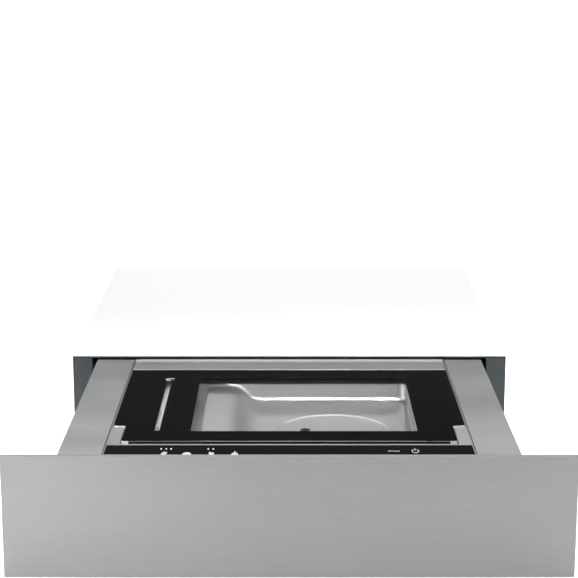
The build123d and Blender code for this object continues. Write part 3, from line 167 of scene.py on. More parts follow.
def finish(
    name,
    colour,
    spacing,
    contrast,
    roughness,
    metallic=0.0,
    bump=0.0,
    cloud=None,
    slabs=(),
    second=None,
    **more,
):
    """A finish whose colour, roughness and surface follow one grain, and more slowly a cloud.

    The spacing is the grain's in millimetres, the contrast is how far it moves the colour, the roughness
    is a pair that it moves between, and the bump is its height in millimetres. The cloud is a spacing
    and a contrast. Inside the slabs the second colour takes the first one's place.
    """
    made, tree, place = start(name)
    lines = grain(tree, place, spacing)
    ends = {6: scaled(colour, 1 - contrast), 7: scaled(colour, 1 + contrast)}
    tone = node(tree, "ShaderNodeMix", {"data_type": "RGBA"}, {0: lines, **ends}).outputs[2]
    if slabs:
        sockets = {0: within(tree, place, slabs), 6: tone, 7: second}
        tone = node(tree, "ShaderNodeMix", {"data_type": "RGBA"}, sockets).outputs[2]
    if cloud:
        slow = grain(tree, place, (cloud[0],) * 3, 1 - cloud[1], 1 + cloud[1], 2.0)
        settings = {"data_type": "RGBA", "blend_type": "MULTIPLY"}
        tone = node(tree, "ShaderNodeMix", settings, {0: 1.0, 6: tone, 7: slow}).outputs[2]
    ends = {"To Min": roughness[0], "To Max": roughness[1]}
    rough = node(tree, "ShaderNodeMapRange", None, {"Value": lines, **ends}).outputs[0]
    sockets = {"Base Color": tone, "Metallic": metallic, "Roughness": rough, **more}
    if bump:
        bumped = {"Strength": 1.0, "Distance": bump * MM, "Height": lines}
        sockets["Normal"] = node(tree, "ShaderNodeBump", None, bumped).outputs[0]
    shader = node(tree, "ShaderNodeBsdfPrincipled", None, sockets).outputs[0]
    node(tree, "ShaderNodeOutputMaterial", None, {"Surface": shader})
    return made


def brushed_steel(name, colour, roughness, contrast):
    """Stainless steel brushed along X."""
    made, tree, place = start(name)
    # Abrasive lines are near 0.1 mm apart, too fine to show, so they are drawn 0.6 and 1.8 mm apart.
    fine = grain(tree, place, (18, 0.6, 0.6), 0, 1, 2.0)
    coarse = grain(tree, place, (45, 1.8, 1.8), 0, 1, 2.0)
    cloud = grain(tree, place, (160, 60, 60), 0, 1, 1.0)
    coarse_share, swing, drift, depth = 0.45, 0.04, 0.03, 0.006 * MM
    lines = node(tree, "ShaderNodeMix", None, {0: coarse_share, 2: fine, 3: coarse}).outputs[0]
    ends = {6: scaled(colour, 1 - contrast), 7: scaled(colour, 1 + contrast)}
    tone = node(tree, "ShaderNodeMix", {"data_type": "RGBA"}, {0: lines, **ends}).outputs[2]
    # The raised lines shine more, and the shine drifts slowly over the sheet.
    ends = {"To Min": roughness + swing, "To Max": roughness - swing}
    streaks = node(tree, "ShaderNodeMapRange", None, {"Value": lines, **ends}).outputs[0]
    sockets = {0: cloud, 1: drift, 2: streaks}
    rough = node(tree, "ShaderNodeMath", {"operation": "MULTIPLY_ADD"}, sockets).outputs[0]
    bumped = {"Strength": 1.0, "Distance": depth, "Height": lines}
    normal = node(tree, "ShaderNodeBump", None, bumped).outputs[0]
    sockets = {"Base Color": tone, "Metallic": 1.0, "Roughness": rough, "Normal": normal}
    shader = node(tree, "ShaderNodeBsdfPrincipled", None, sockets).outputs[0]
    node(tree, "ShaderNodeOutputMaterial", None, {"Surface": shader})
    return made


def zinc_sheet():
    """Zinc-plated steel sheet: bright grey with a cloudy spangle 8 mm across."""
    name = "zinc_plated_sheet"
    made = bpy.data.materials.get(name)
    return made or finish(
        name,
        linear("#A9ACAE"),
        (8, 8, 8),
        contrast=0.07,
        roughness=(0.3, 0.42),
        metallic=1.0,
        cloud=(60, 0.05),
    )


def bright_steel():
    """Ground and nickel-plated steel: bright, slightly warm, with fine turning marks."""
    name = "nickel_plated_steel"
    made = bpy.data.materials.get(name)
    return made or finish(
        name, linear("#C9C6BF"), (0.5, 3, 0.5), contrast=0.05, roughness=(0.18, 0.28), metallic=1.0
    )


def moulded_plastic():
    """Moulded black plastic: matt, with the fine spark-eroded grain of its mould."""
    name = "moulded_black_plastic"
    made = bpy.data.materials.get(name)
    return made or finish(
        name, linear("#202123"), (0.8, 0.8, 0.8), contrast=0.08, roughness=(0.45, 0.55), bump=0.02
    )


def lid_glass_material():
    """Clear float glass with ground edges: the flat faces let light through, the edges scatter it, and the
    edges carry painted shade and a painted highlight by which way they face.
    """
    made, tree, place = start("float_glass_ground_edge")
    coordinates = node(tree, "ShaderNodeTexCoord").outputs
    facing = node(tree, "ShaderNodeSeparateXYZ", None, {0: coordinates["Normal"]}).outputs
    # A face is told by which way it looks: up or down, at a slant, or forward at the front corners, so that
    # light and shade can be painted on the edge by its facing.
    upright = node(tree, "ShaderNodeMath", {"operation": "ABSOLUTE"}, {0: facing[2]}).outputs[0]
    flat = node(tree, "ShaderNodeMath", {"operation": "GREATER_THAN"}, {0: upright, 1: 0.9}).outputs[0]
    bevel = node(tree, "ShaderNodeMath", {"operation": "GREATER_THAN"}, {0: upright, 1: 0.3}).outputs[0]
    sockets = {0: facing[1], 1: -0.25}
    forward = node(tree, "ShaderNodeMath", {"operation": "LESS_THAN"}, sockets).outputs[0]
    # The forward faces at the front corners, where a highlight is painted.
    ends = within(tree, place, ((0, -196, -172), (0, 172, 196)))
    corner_highlight_mask = node(tree, "ShaderNodeMath", {"operation": "MULTIPLY"}, {0: forward, 1: ends}).outputs[0]
    clear = node(tree, "ShaderNodeBsdfTransparent", None, {"Color": linear("#F7F7F7")}).outputs[0]
    sockets = {"Color": linear("#FFFFFF"), "Roughness": 0.03}
    mirror = node(tree, "ShaderNodeBsdfGlossy", None, sockets).outputs[0]
    # Only the outer side of each face mirrors: the pane bends no ray, so the inner side must not.
    behind = node(tree, "ShaderNodeNewGeometry").outputs["Backfacing"]
    outer = node(tree, "ShaderNodeMath", {"operation": "SUBTRACT"}, {0: 1.0, 1: behind}).outputs[0]
    gloss = node(tree, "ShaderNodeFresnel", None, {"IOR": 1.3}).outputs[0]
    bounce = node(tree, "ShaderNodeMath", {"operation": "MULTIPLY"}, {0: gloss, 1: outer}).outputs[0]
    pane = node(tree, "ShaderNodeMixShader", None, {0: bounce, 1: clear, 2: mirror}).outputs[0]
    # Painted light on the edge by its facing: the upright faces are painted dark as shade, the upward ground
    # bevel a lit grey, and the forward faces at the front corners pale as a painted highlight.
    sockets = {0: bevel, 6: linear("#0E1211"), 7: linear("#6C7271")}
    edge = node(tree, "ShaderNodeMix", {"data_type": "RGBA"}, sockets).outputs[2]
    sockets = {0: corner_highlight_mask, 6: edge, 7: linear("#C6CAC9")}
    edge = node(tree, "ShaderNodeMix", {"data_type": "RGBA"}, sockets).outputs[2]
    fine = grain(tree, place, (3, 3, 3), 0.18, 0.3)
    sockets = {"Base Color": edge, "Roughness": fine, "IOR": 1.5, "Specular IOR Level": 0.35}
    ground = node(tree, "ShaderNodeBsdfPrincipled", None, sockets).outputs[0]
    solid = node(tree, "ShaderNodeMixShader", None, {0: flat, 1: ground, 2: pane}).outputs[0]
    shadow = node(tree, "ShaderNodeLightPath").outputs["Is Shadow Ray"]
    shader = node(tree, "ShaderNodeMixShader", None, {0: shadow, 1: solid, 2: clear}).outputs[0]
    node(tree, "ShaderNodeOutputMaterial", None, {"Surface": shader})
    return made


def dress(names, material):
    """Give CAD nodes a finish."""
    for name in names:
        mesh = frame["nodes"][name].data
        mesh.materials.clear()
        mesh.materials.append(material)


def place_piece(name, form, material, body):
    """Put a finished form in the scene as a piece that moves with a body."""
    mesh = bpy.data.meshes.new(name)
    form.to_mesh(mesh)
    form.free()
    mesh.materials.append(material)
    mesh.shade_smooth()
    mesh.set_sharp_from_angle(angle=SHARP)
    piece = bpy.data.objects.new(name, mesh)
    bpy.context.scene.collection.objects.link(piece)
    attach(piece, body)
    return piece


def round_edges(form, width, segments=2):
    """Round the sharp edges of a form."""
    bmesh.ops.bevel(
        form,
        geom=[e for e in form.edges if len(e.link_faces) == 2 and e.calc_face_angle() > SHARP],
        offset=width,
        offset_type="OFFSET",
        segments=segments,
        profile=0.5,
        affect="EDGES",
        material=-1,
        clamp_overlap=False,
    )


def cut(form, axis, place):
    """Cut every face of a form along a plane across an axis, at a place in millimetres."""
    normal = [float(axis == i) for i in range(3)]
    spot = [share * place * MM for share in normal]
    everything = form.verts[:] + form.edges[:] + form.faces[:]
    bmesh.ops.bisect_plane(form, geom=everything, plane_co=spot, plane_no=normal)


def break_edges(name, width, material, body, reform=None):
    """Round the sharp edges of a copy of a CAD node, which then stands for the node.

    A reform function may first change the copy's form.
    """
    form = bmesh.new()
    form.from_mesh(frame["nodes"][name].data)
    bmesh.ops.remove_doubles(form, verts=form.verts, dist=WELD)
    bmesh.ops.dissolve_limit(form, angle_limit=FLAT, verts=form.verts, edges=form.edges)
    if reform:
        reform(form)
    round_edges(form, width)
    piece = place_piece(f"{name}_finished", form, material, body)
    weighted = piece.modifiers.new("Flat faces", "WEIGHTED_NORMAL")
    weighted.keep_sharp = True
    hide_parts(name)


def slab(form, x, y, z):
    """A block between limits in millimetres."""
    middle = Vector([sum(pair) / 2 * MM for pair in (x, y, z)])
    sides = [(pair[1] - pair[0]) * MM for pair in (x, y, z)]
    place = Matrix.Translation(middle) @ Matrix.Diagonal((*sides, 1.0))
    bmesh.ops.create_cube(form, size=1.0, matrix=place)


class DRAWER_OT_housing(bpy.types.Operator):
    """Finish the housing that stays in the cabinet"""

    bl_idname = "drawer.housing"
    bl_label = "Housing"

    def execute(self, context):
        colours, sizes = context.scene.drawer_colours, context.scene.drawer_sizes
        # Powder coat over steel sheet: an even satin white with a faint orange peel.
        coat = finish(
            "powder_coated_steel",
            colours.casing,
            (1.6, 1.6, 1.6),
            contrast=0.004,
            roughness=(0.5, 0.58),
            bump=0.02,
        )
        # Baked slate enamel on the frame's face, and the casing's white on its top and outer sides.
        outside = ((2, 131.99, 133), (0, 274.2, 276), (0, -276, -274.2))
        slate = finish(
            "slate_enamel_steel",
            colours.frame,
            (2.5, 2.5, 2.5),
            contrast=0.03,
            roughness=(0.38, 0.46),
            bump=0.01,
            slabs=outside,
            second=colours.casing,
        )
        for name in ("side_wall_left", "side_wall_right", "rear_wall", "top_cover"):
            break_edges(name, sizes.sheet_edge, coat, "housing")

        def fold(form):
            """A groove under the top fold, cut into the front face."""
            # The heights of the groove's lower and upper walls, each a pair of cuts.
            levels = (129.4, 129.42, 130.58, 130.6)
            for level in levels:
                cut(form, 2, level)
            near = 0.01
            for vert in form.verts:
                if vert.co.y < near * MM and levels[0] + near < vert.co.z / MM < levels[3] - near:
                    vert.co.y += sizes.fold_groove

        break_edges("front_frame", sizes.sheet_edge, slate, "housing", fold)
        dress(("base_plate", "rail_brackets"), zinc_sheet())
        dress(("push_latch_plunger", "mains_inlet"), moulded_plastic())
        # Glass-filled nylon: flat grey with short pale fibres near the surface.
        nylon = finish(
            "glass_filled_nylon",
            linear("#8A8D8F"),
            (2.5, 0.5, 0.5),
            contrast=0.06,
            roughness=(0.5, 0.6),
            bump=0.01,
        )
        dress(("push_latch_body",), nylon)
        return {"FINISHED"}


class DRAWER_OT_case_screws(bpy.types.Operator):
    """Close the housing with domed screws"""

    bl_idname = "drawer.case_screws"
    bl_label = "Housing screws"

    def execute(self, context):
        reach = context.scene.drawer_sizes.case_screw
        # Three along the foot and three along the top of each wall, in millimetres.
        rows = [(y, z) for z in (20, 116) for y in (40, 280, 510)]
        sides = 24
        # Steps of the dome in shares of the head's radius: how far in, and how far up.
        dome = ((0.0, 0.16), (0.1, 0.12), (0.16, 0.08), (0.24, 0.03))
        form = bmesh.new()
        for turn, wall in zip((-90, 90), WALLS):
            for y, z in rows:
                tilt = Matrix.Rotation(radians(turn), 4, "Y")
                place = Matrix.Translation((wall, y * MM, z * MM)) @ tilt
                ring = bmesh.ops.create_circle(
                    form, cap_ends=True, segments=sides, radius=reach, matrix=place
                )["verts"]
                face = next(f for f in ring[0].link_faces if len(f.verts) == sides)
                if face.normal.dot(tilt.to_3x3() @ Vector((0, 0, 1))) < 0:
                    face.normal_flip()
                for inset, rise in dome:
                    bmesh.ops.inset_individual(
                        form, faces=[face], thickness=inset * reach, depth=rise * reach
                    )
                # Six lobes around the recess, a quarter turn of the wave to each vertex, and its floor.
                middle = face.calc_center_median()
                for count, loop in enumerate(face.loops):
                    lobe = 0.92 + 0.16 * cos(count * radians(90))
                    loop.vert.co = middle + (loop.vert.co - middle) * lobe
                bmesh.ops.inset_individual(form, faces=[face], thickness=0.02 * reach, depth=-0.22 * reach)
        place_piece("case_screws", form, bright_steel(), "housing")
        return {"FINISHED"}


class DRAWER_OT_slides(bpy.types.Operator):
    """Finish the telescopic slides"""

    bl_idname = "drawer.slides"
    bl_label = "Slides"

    def execute(self, context):
        # Cold-rolled zinc-plated rail: drawing lines along its length, 0.6 mm apart.
        rolled = finish(
            "cold_rolled_rail",
            linear("#B4B6B7"),
            (0.6, 70, 0.6),
            contrast=0.06,
            roughness=(0.24, 0.34),
            metallic=1.0,
        )
        sides = ("left", "right")
        dress([f"{kind}_rail_{side}" for kind in ("inner", "middle", "outer") for side in sides], rolled)
        dress(("inner_ball_cages", "outer_ball_cages"), bright_steel())
        return {"FINISHED"}


class DRAWER_OT_front(bpy.types.Operator):
    """Finish the drawer's front panel"""

    bl_idname = "drawer.front"
    bl_label = "Front panel"

    def execute(self, context):
        colours, sizes = context.scene.drawer_colours, context.scene.drawer_sizes
        # Brushed stainless steel: short bright lines along X over an even satin grey. Its colour is the
        # covers' steel painted a step darker, as painted shade on the upright front.
        # Painted shade: the covers' steel colour scaled down for the front.
        darker = scaled(colours.steel, 0.82)
        steel = brushed_steel("brushed_steel_front", darker, 0.34, 0.05)
        # How far the CAD's roll reaches down and back from the edge.
        roll = 1.8 * MM

        def crisp(form):
            """Draw the roll along the top front edge in to a third."""
            top, front = max(v.co.z for v in form.verts), min(v.co.y for v in form.verts)
            for vert in form.verts:
                if vert.co.z > top - roll and vert.co.y < front + roll:
                    vert.co.z = top + (vert.co.z - top) / 3
                    vert.co.y = front + (vert.co.y - front) / 3

        break_edges("front_panel", sizes.fine_edge, steel, "drawer", crisp)
        dress(("panel_backing",), zinc_sheet())
        dress(("panel_screws",), bright_steel())
        return {"FINISHED"}


class DRAWER_OT_carriage(bpy.types.Operator):
    """Finish the drawer's chassis"""

    bl_idname = "drawer.carriage"
    bl_label = "Chassis"

    def execute(self, context):
        folded = ("chassis_pan", "chassis_side_left", "chassis_side_right", "cross_rails", "bay_cover")
        dress((*folded, "hinge_brackets", "pump_base"), zinc_sheet())
        dress(("hinge_pins",), bright_steel())
        return {"FINISHED"}


class DRAWER_OT_covers(bpy.types.Operator):
    """Finish the covers beside and behind the lid"""

    bl_idname = "drawer.covers"
    bl_label = "Covers"

    def execute(self, context):
        colours, sizes = context.scene.drawer_colours, context.scene.drawer_sizes
        # Brushed stainless sheet, finer than the front.
        steel = brushed_steel("brushed_steel_cover", colours.steel, 0.32, 0.07)
        for name in ("side_cover_left", "side_cover_right"):
            break_edges(name, sizes.sheet_edge, steel, "drawer")
        break_edges("deck_frame", sizes.fine_edge, steel, "drawer")

        # The strip's top from front to rear: where it bends, and its height as a share of the rise.
        profile = (
            (-70, 0.7),
            (-50.4, 0.7),
            (-49.8, 0),
            (-19.5, 0),
            (-14.5, -0.6),
            (-12.8, 0.1),
            (-4, 0.6),
            (0, 0.6),
        )
        # Only the sheet's top and its rolled edges take the profile.
        sheet = 1.6 * MM

        def pressed(form):
            """A step for the lip, a flat, a pressed line, and a rear band that stands up."""
            top = max(vert.co.z for vert in form.verts)
            for y, _ in profile[1:-1]:
                cut(form, 1, y)
            for vert in form.verts:
                y = vert.co.y / MM
                for (front, low), (rear, high) in zip(profile, profile[1:]):
                    if vert.co.z > top - sheet and front < y <= rear:
                        share = (y - front) / (rear - front)
                        vert.co.z += (low + (high - low) * share) * sizes.strip_rise

        break_edges("hinge_strip", sizes.sheet_edge, steel, "lid", pressed)
        # The folded lip along the strip's front lies on the rear edge of the glass.
        form = bmesh.new()
        low = LID_TOP / MM
        slab(form, (-193, 193), (-54.4, -50.5), (low, low + 0.4))
        round_edges(form, 0.18 * MM)
        place_piece("strip_lip", form, steel, "lid")
        return {"FINISHED"}


class DRAWER_OT_lid(bpy.types.Operator):
    """Finish the glass lid"""

    bl_idname = "drawer.lid"
    bl_label = "Lid"

    def execute(self, context):
        colours, sizes = context.scene.drawer_colours, context.scene.drawer_sizes

        gap = 0.02 * MM

        def settle(form):
            """Keep the pane's top clear of the print on it, so that the two don't flicker."""
            top = max(vert.co.z for vert in form.verts)
            for vert in form.verts:
                if vert.co.z > top - gap / 2:
                    vert.co.z -= gap

        break_edges("lid_glass", sizes.glass_edge, lid_glass_material(), "lid", settle)
        # Fired enamel print: glossy black, with a faint unevenness.
        enamel = finish(
            "fired_black_print",
            colours.black,
            (1.2, 1.2, 1.2),
            contrast=0.2,
            roughness=(0.07, 0.11),
            IOR=1.45,
        )
        dress(("lid_print",), enamel)
        # Milled and anodised aluminium: pale, with fine lines along its length.
        milled = finish(
            "anodised_aluminium",
            linear("#F0F0F0"),
            (0.8, 30, 0.8),
            contrast=0.03,
            roughness=(0.4, 0.48),
            metallic=0.4,
        )
        dress(("counter_bar",), milled)
        # Silicone sealing strip: matt warm grey.
        silicone = finish(
            "grey_silicone_strip",
            linear("#8C8A86"),
            (0.6, 0.6, 0.6),
            contrast=0.05,
            roughness=(0.55, 0.65),
            bump=0.01,
        )
        dress(("counter_seal",), silicone)
        return {"FINISHED"}


class DRAWER_OT_slot_clip(bpy.types.Operator):
    """Clip the rear end of the light bar in the lid's slot"""

    bl_idname = "drawer.slot_clip"
    bl_label = "Slot clip"

    def execute(self, context):
        colours = context.scene.drawer_colours
        foot = LID_TOP / MM
        top, edge_top = foot + 0.3, foot + 0.42
        form = bmesh.new()
        slab(form, (-149.4, -138.2), (-104.6, -93.4), (foot, top))
        round_edges(form, 0.1 * MM, 1)
        # Lacquered spring steel: black, a little softer than the print around it.
        lacquer = finish(
            "black_lacquered_clip", colours.black, (1, 1, 1), contrast=0.1, roughness=(0.2, 0.3)
        )
        place_piece("slot_clip", form, lacquer, "lid")
        # The bare edge runs along the clip's rear, down its left side and back under its hook.
        form = bmesh.new()
        for x, y in (
            ((-148.8, -138.8), (-96.2, -94.0)),
            ((-148.8, -147.2), (-103.8, -96.2)),
            ((-147.2, -143), (-103.8, -102)),
        ):
            slab(form, x, y, (top, edge_top))
        round_edges(form, 0.04 * MM, 1)
        # Bare ground edges of the clip: dull silver lines.
        edge = finish(
            "ground_clip_edge",
            linear("#B9BBBB"),
            (0.5, 0.5, 0.5),
            contrast=0.05,
            roughness=(0.4, 0.5),
            metallic=0.6,
        )
        place_piece("slot_clip_edges", form, edge, "lid")
        return {"FINISHED"}


class DRAWER_OT_chamber(bpy.types.Operator):
    """Finish the vacuum chamber and what seals it"""

    bl_idname = "drawer.chamber"
    bl_label = "Vacuum chamber"

    def execute(self, context):
        colours = context.scene.drawer_colours
        # Deep-drawn stainless steel: satin, with faint drawing marks that run along X.
        drawn = finish(
            "drawn_stainless_steel",
            colours.chamber,
            (40, 1.2, 1.2),
            contrast=0.05,
            roughness=(0.31, 0.4),
            metallic=0.84,
            cloud=(90, 0.02),
        )
        dress(("vacuum_chamber",), drawn)
        # Moulded rubber: matt black with a dusty bloom.
        rubber = finish(
            "moulded_black_rubber",
            linear("#1B1B1C"),
            (1.5, 1.5, 1.5),
            contrast=0.1,
            roughness=(0.6, 0.75),
            bump=0.015,
        )
        dress(("lid_gasket",), rubber)
        # Polished steel strainer over the suction hole: a clear mirror with faint buffing marks.
        polished = finish(
            "polished_steel",
            linear("#C6C6C4"),
            (1.5, 1.5, 1.5),
            contrast=0.03,
            roughness=(0.15, 0.22),
            metallic=1.0,
        )
        dress(("suction_port",), polished)
        return {"FINISHED"}


class DRAWER_OT_sealing_bar(bpy.types.Operator):
    """Finish the sealing bar, its band and its lift"""

    bl_idname = "drawer.sealing_bar"
    bl_label = "Sealing bar"

    def execute(self, context):
        # Anodised aluminium extrusion: satin, with lines along its length.
        extruded = finish(
            "anodised_aluminium_bar",
            linear("#C9CACB"),
            (0.8, 40, 0.8),
            contrast=0.04,
            roughness=(0.3, 0.4),
            metallic=1.0,
        )
        dress(("sealing_bar",), extruded)
        # Nickel-chrome band under its woven slip cloth: dull yellowish grey.
        cloth = finish(
            "slip_cloth_band",
            linear("#8D8674"),
            (0.8, 0.8, 0.8),
            contrast=0.12,
            roughness=(0.5, 0.6),
            bump=0.02,
        )
        dress(("heating_band",), cloth)
        dress(("lift_rods",), bright_steel())
        return {"FINISHED"}


class DRAWER_OT_machinery(bpy.types.Operator):
    """Finish the pump, its motor, the valves, the transformer and the fan"""

    bl_idname = "drawer.machinery"
    bl_label = "Machinery"

    def execute(self, context):
        # Die-cast aluminium: pale grey skin with a pebbled surface.
        cast = finish(
            "die_cast_aluminium",
            linear("#B2B4B5"),
            (1.8, 1.8, 1.8),
            contrast=0.08,
            roughness=(0.42, 0.55),
            metallic=1.0,
            bump=0.03,
        )
        dress(("lift_cylinders", "pump_body", "pump_rotor"), cast)
        # Hammer paint over the motor: dark grey with dimples 2 mm across.
        paint = finish(
            "hammer_painted_steel",
            linear("#565B60"),
            (2.2, 2.2, 2.2),
            contrast=0.12,
            roughness=(0.3, 0.42),
            bump=0.05,
        )
        dress(("motor_housing",), paint)
        # Ground shaft steel: mid grey with fine lines along Y.
        ground = finish(
            "ground_steel_shaft",
            linear("#8E9092"),
            (0.8, 30, 0.8),
            contrast=0.08,
            roughness=(0.2, 0.3),
            metallic=1.0,
        )
        dress(("motor_shaft",), ground)
        # Electrical steel: dark grey with the lines of its sheets, drawn 1 mm apart. The varnished copper
        # winding stands out in front of and behind it.
        core = finish(
            "laminated_core_steel",
            linear("#6B6D70"),
            (40, 1.0, 40),
            contrast=0.14,
            roughness=(0.4, 0.5),
            metallic=0.7,
            bump=0.02,
            slabs=((1, 15, 29.9), (1, 80.1, 95)),
            second=linear("#8C4A22"),
        )
        dress(("transformer",), core)
        # Pressed carbon: soft black with a graphite sheen.
        carbon = finish("pressed_carbon", linear("#2A2B2D"), (1, 1, 1), contrast=0.12, roughness=(0.4, 0.5))
        dress(("pump_vanes",), carbon)
        # Silicone hose: milky grey, soft sheen.
        silicone = finish(
            "silicone_hose",
            linear("#A4A5A3"),
            (2, 2, 2),
            contrast=0.04,
            roughness=(0.35, 0.45),
            **{"Coat Weight": 0.1},
        )
        dress(("vacuum_hoses",), silicone)
        # Solder mask on the bare board, and dark moulded parts standing on it.
        board = finish(
            "populated_board",
            linear("#1D5A36"),
            (1.4, 1.4, 1.4),
            contrast=0.2,
            roughness=(0.3, 0.42),
            slabs=((2, 17.8, 60),),
            second=linear("#26282B"),
        )
        dress(("main_board",), board)
        # Acetal: smooth pale grey, slightly waxy.
        acetal = finish(
            "moulded_grey_acetal",
            linear("#9B9D9E"),
            (3, 3, 3),
            contrast=0.03,
            roughness=(0.38, 0.46),
            bump=0.005,
        )
        dress(("lid_switch_plunger", "valve_block"), acetal)
        dress(("lid_switch", "cooling_fan_frame", "cooling_fan_rotor"), moulded_plastic())
        return {"FINISHED"}


class DRAWER_OT_controls(bpy.types.Operator):
    """Finish the touch strip and what lies under it"""

    bl_idname = "drawer.controls"
    bl_label = "Controls"

    def execute(self, context):
        sizes = context.scene.drawer_sizes
        # Back-printed black glass: a near-black body under a clear gloss.
        gloss = finish(
            "black_control_glass",
            linear("#141516"),
            (40, 40, 40),
            contrast=0.03,
            roughness=(0.05, 0.08),
            IOR=1.5,
        )
        break_edges("control_glass", sizes.fine_edge, gloss, "drawer")
        dress(("control_tray",), moulded_plastic())
        # Green solder mask: glossy, mottled by the tracks under it.
        mask = finish(
            "solder_mask_board", linear("#1D5A36"), (1.4, 1.4, 1.4), contrast=0.2, roughness=(0.3, 0.42)
        )
        dress(("control_board",), mask)
        return {"FINISHED"}


class DRAWER_OT_symbols(bpy.types.Operator):
    """Print the key symbols on the touch strip"""

    bl_idname = "drawer.symbols"
    bl_label = "Symbols"

    def execute(self, context):
        colours, sizes = context.scene.drawer_colours, context.scene.drawer_sizes
        form = bmesh.new()

        def print_shape(x, y, wide, deep, sides=4):
            """A flat disc or oblong. Its middle, width and depth are in millimetres."""
            spot = Matrix.Translation((x * MM, y * MM, KEY_TOP))
            place = spot @ Matrix.Diagonal((wide * MM, deep * MM, 1, 1))
            if sides == 4:
                bmesh.ops.create_grid(form, x_segments=1, y_segments=1, size=0.5, matrix=place)
            else:
                bmesh.ops.create_circle(form, cap_ends=True, segments=sides, radius=0.5, matrix=place)

        # Level lamps over two of the keys: dots of 1.6 mm.
        for x in (-134.8, -129.4, -124.4, -85.2, -80.0):
            print_shape(x, -363, 1.6, 5, 16)
        # A bag under its lid, a heat wave, a jar and a bottle, each a small bold sign.
        for shape in (
            (-131, -380, 5.6, 8.4),
            (-131, -373.6, 1.8, 3.6),
            (-128.6, -374.4, 2.2, 2.2),
            (-107, -381, 9.4, 14, 24),
            (-81.4, -379.4, 5.4, 8.8),
            (-83.2, -374, 1.6, 3),
            (-57, -380.4, 6.6, 8),
            (-57, -373.6, 1.4, 5.2),
        ):
            print_shape(*shape)
        # Five short level marks beside the round key.
        for x in (104.4, 106.9, 109.4, 111.9, 114.4):
            print_shape(x, -370, 1.4, 2.6)
        # The round key: an open ring with a bar in its gap, from the left of the gap to its right.
        hub = Vector((132 * MM, -370 * MM, KEY_TOP))
        radius, begin, sweep = 3.4 * MM, radians(120), radians(300)
        arm = Vector((cos(begin), sin(begin), 0))
        ends = [form.verts.new(hub + arm * (radius + side * sizes.symbol_line / 2)) for side in (-1, 1)]
        line = [*ends, form.edges.new(ends)]
        bmesh.ops.spin(form, geom=line, cent=hub, axis=(0, 0, 1), angle=sweep, steps=20)
        print_shape(132, -367, 0.9, 4)
        # It is drawn long, as it is read from the front at a low angle.
        stretch, near = 1.7, 5 * MM
        for vert in form.verts:
            if abs(vert.co.x - hub.x) < near:
                vert.co.y = hub.y + (vert.co.y - hub.y) * stretch
        bmesh.ops.recalc_face_normals(form, faces=form.faces)
        raised = bmesh.ops.extrude_face_region(form, geom=form.faces[:])["geom"]
        raised = [v for v in raised if isinstance(v, bmesh.types.BMVert)]
        bmesh.ops.translate(form, verts=raised, vec=(0, 0, sizes.symbol_proud))
        bmesh.ops.recalc_face_normals(form, faces=form.faces)
        # Screen-printed ink: flat pale grey.
        ink = finish(
            "screen_printed_ink", colours.symbols, (0.5, 0.5, 0.5), contrast=0.04, roughness=(0.5, 0.6)
        )
        place_piece("key_symbols", form, ink, "drawer")
        return {"FINISHED"}


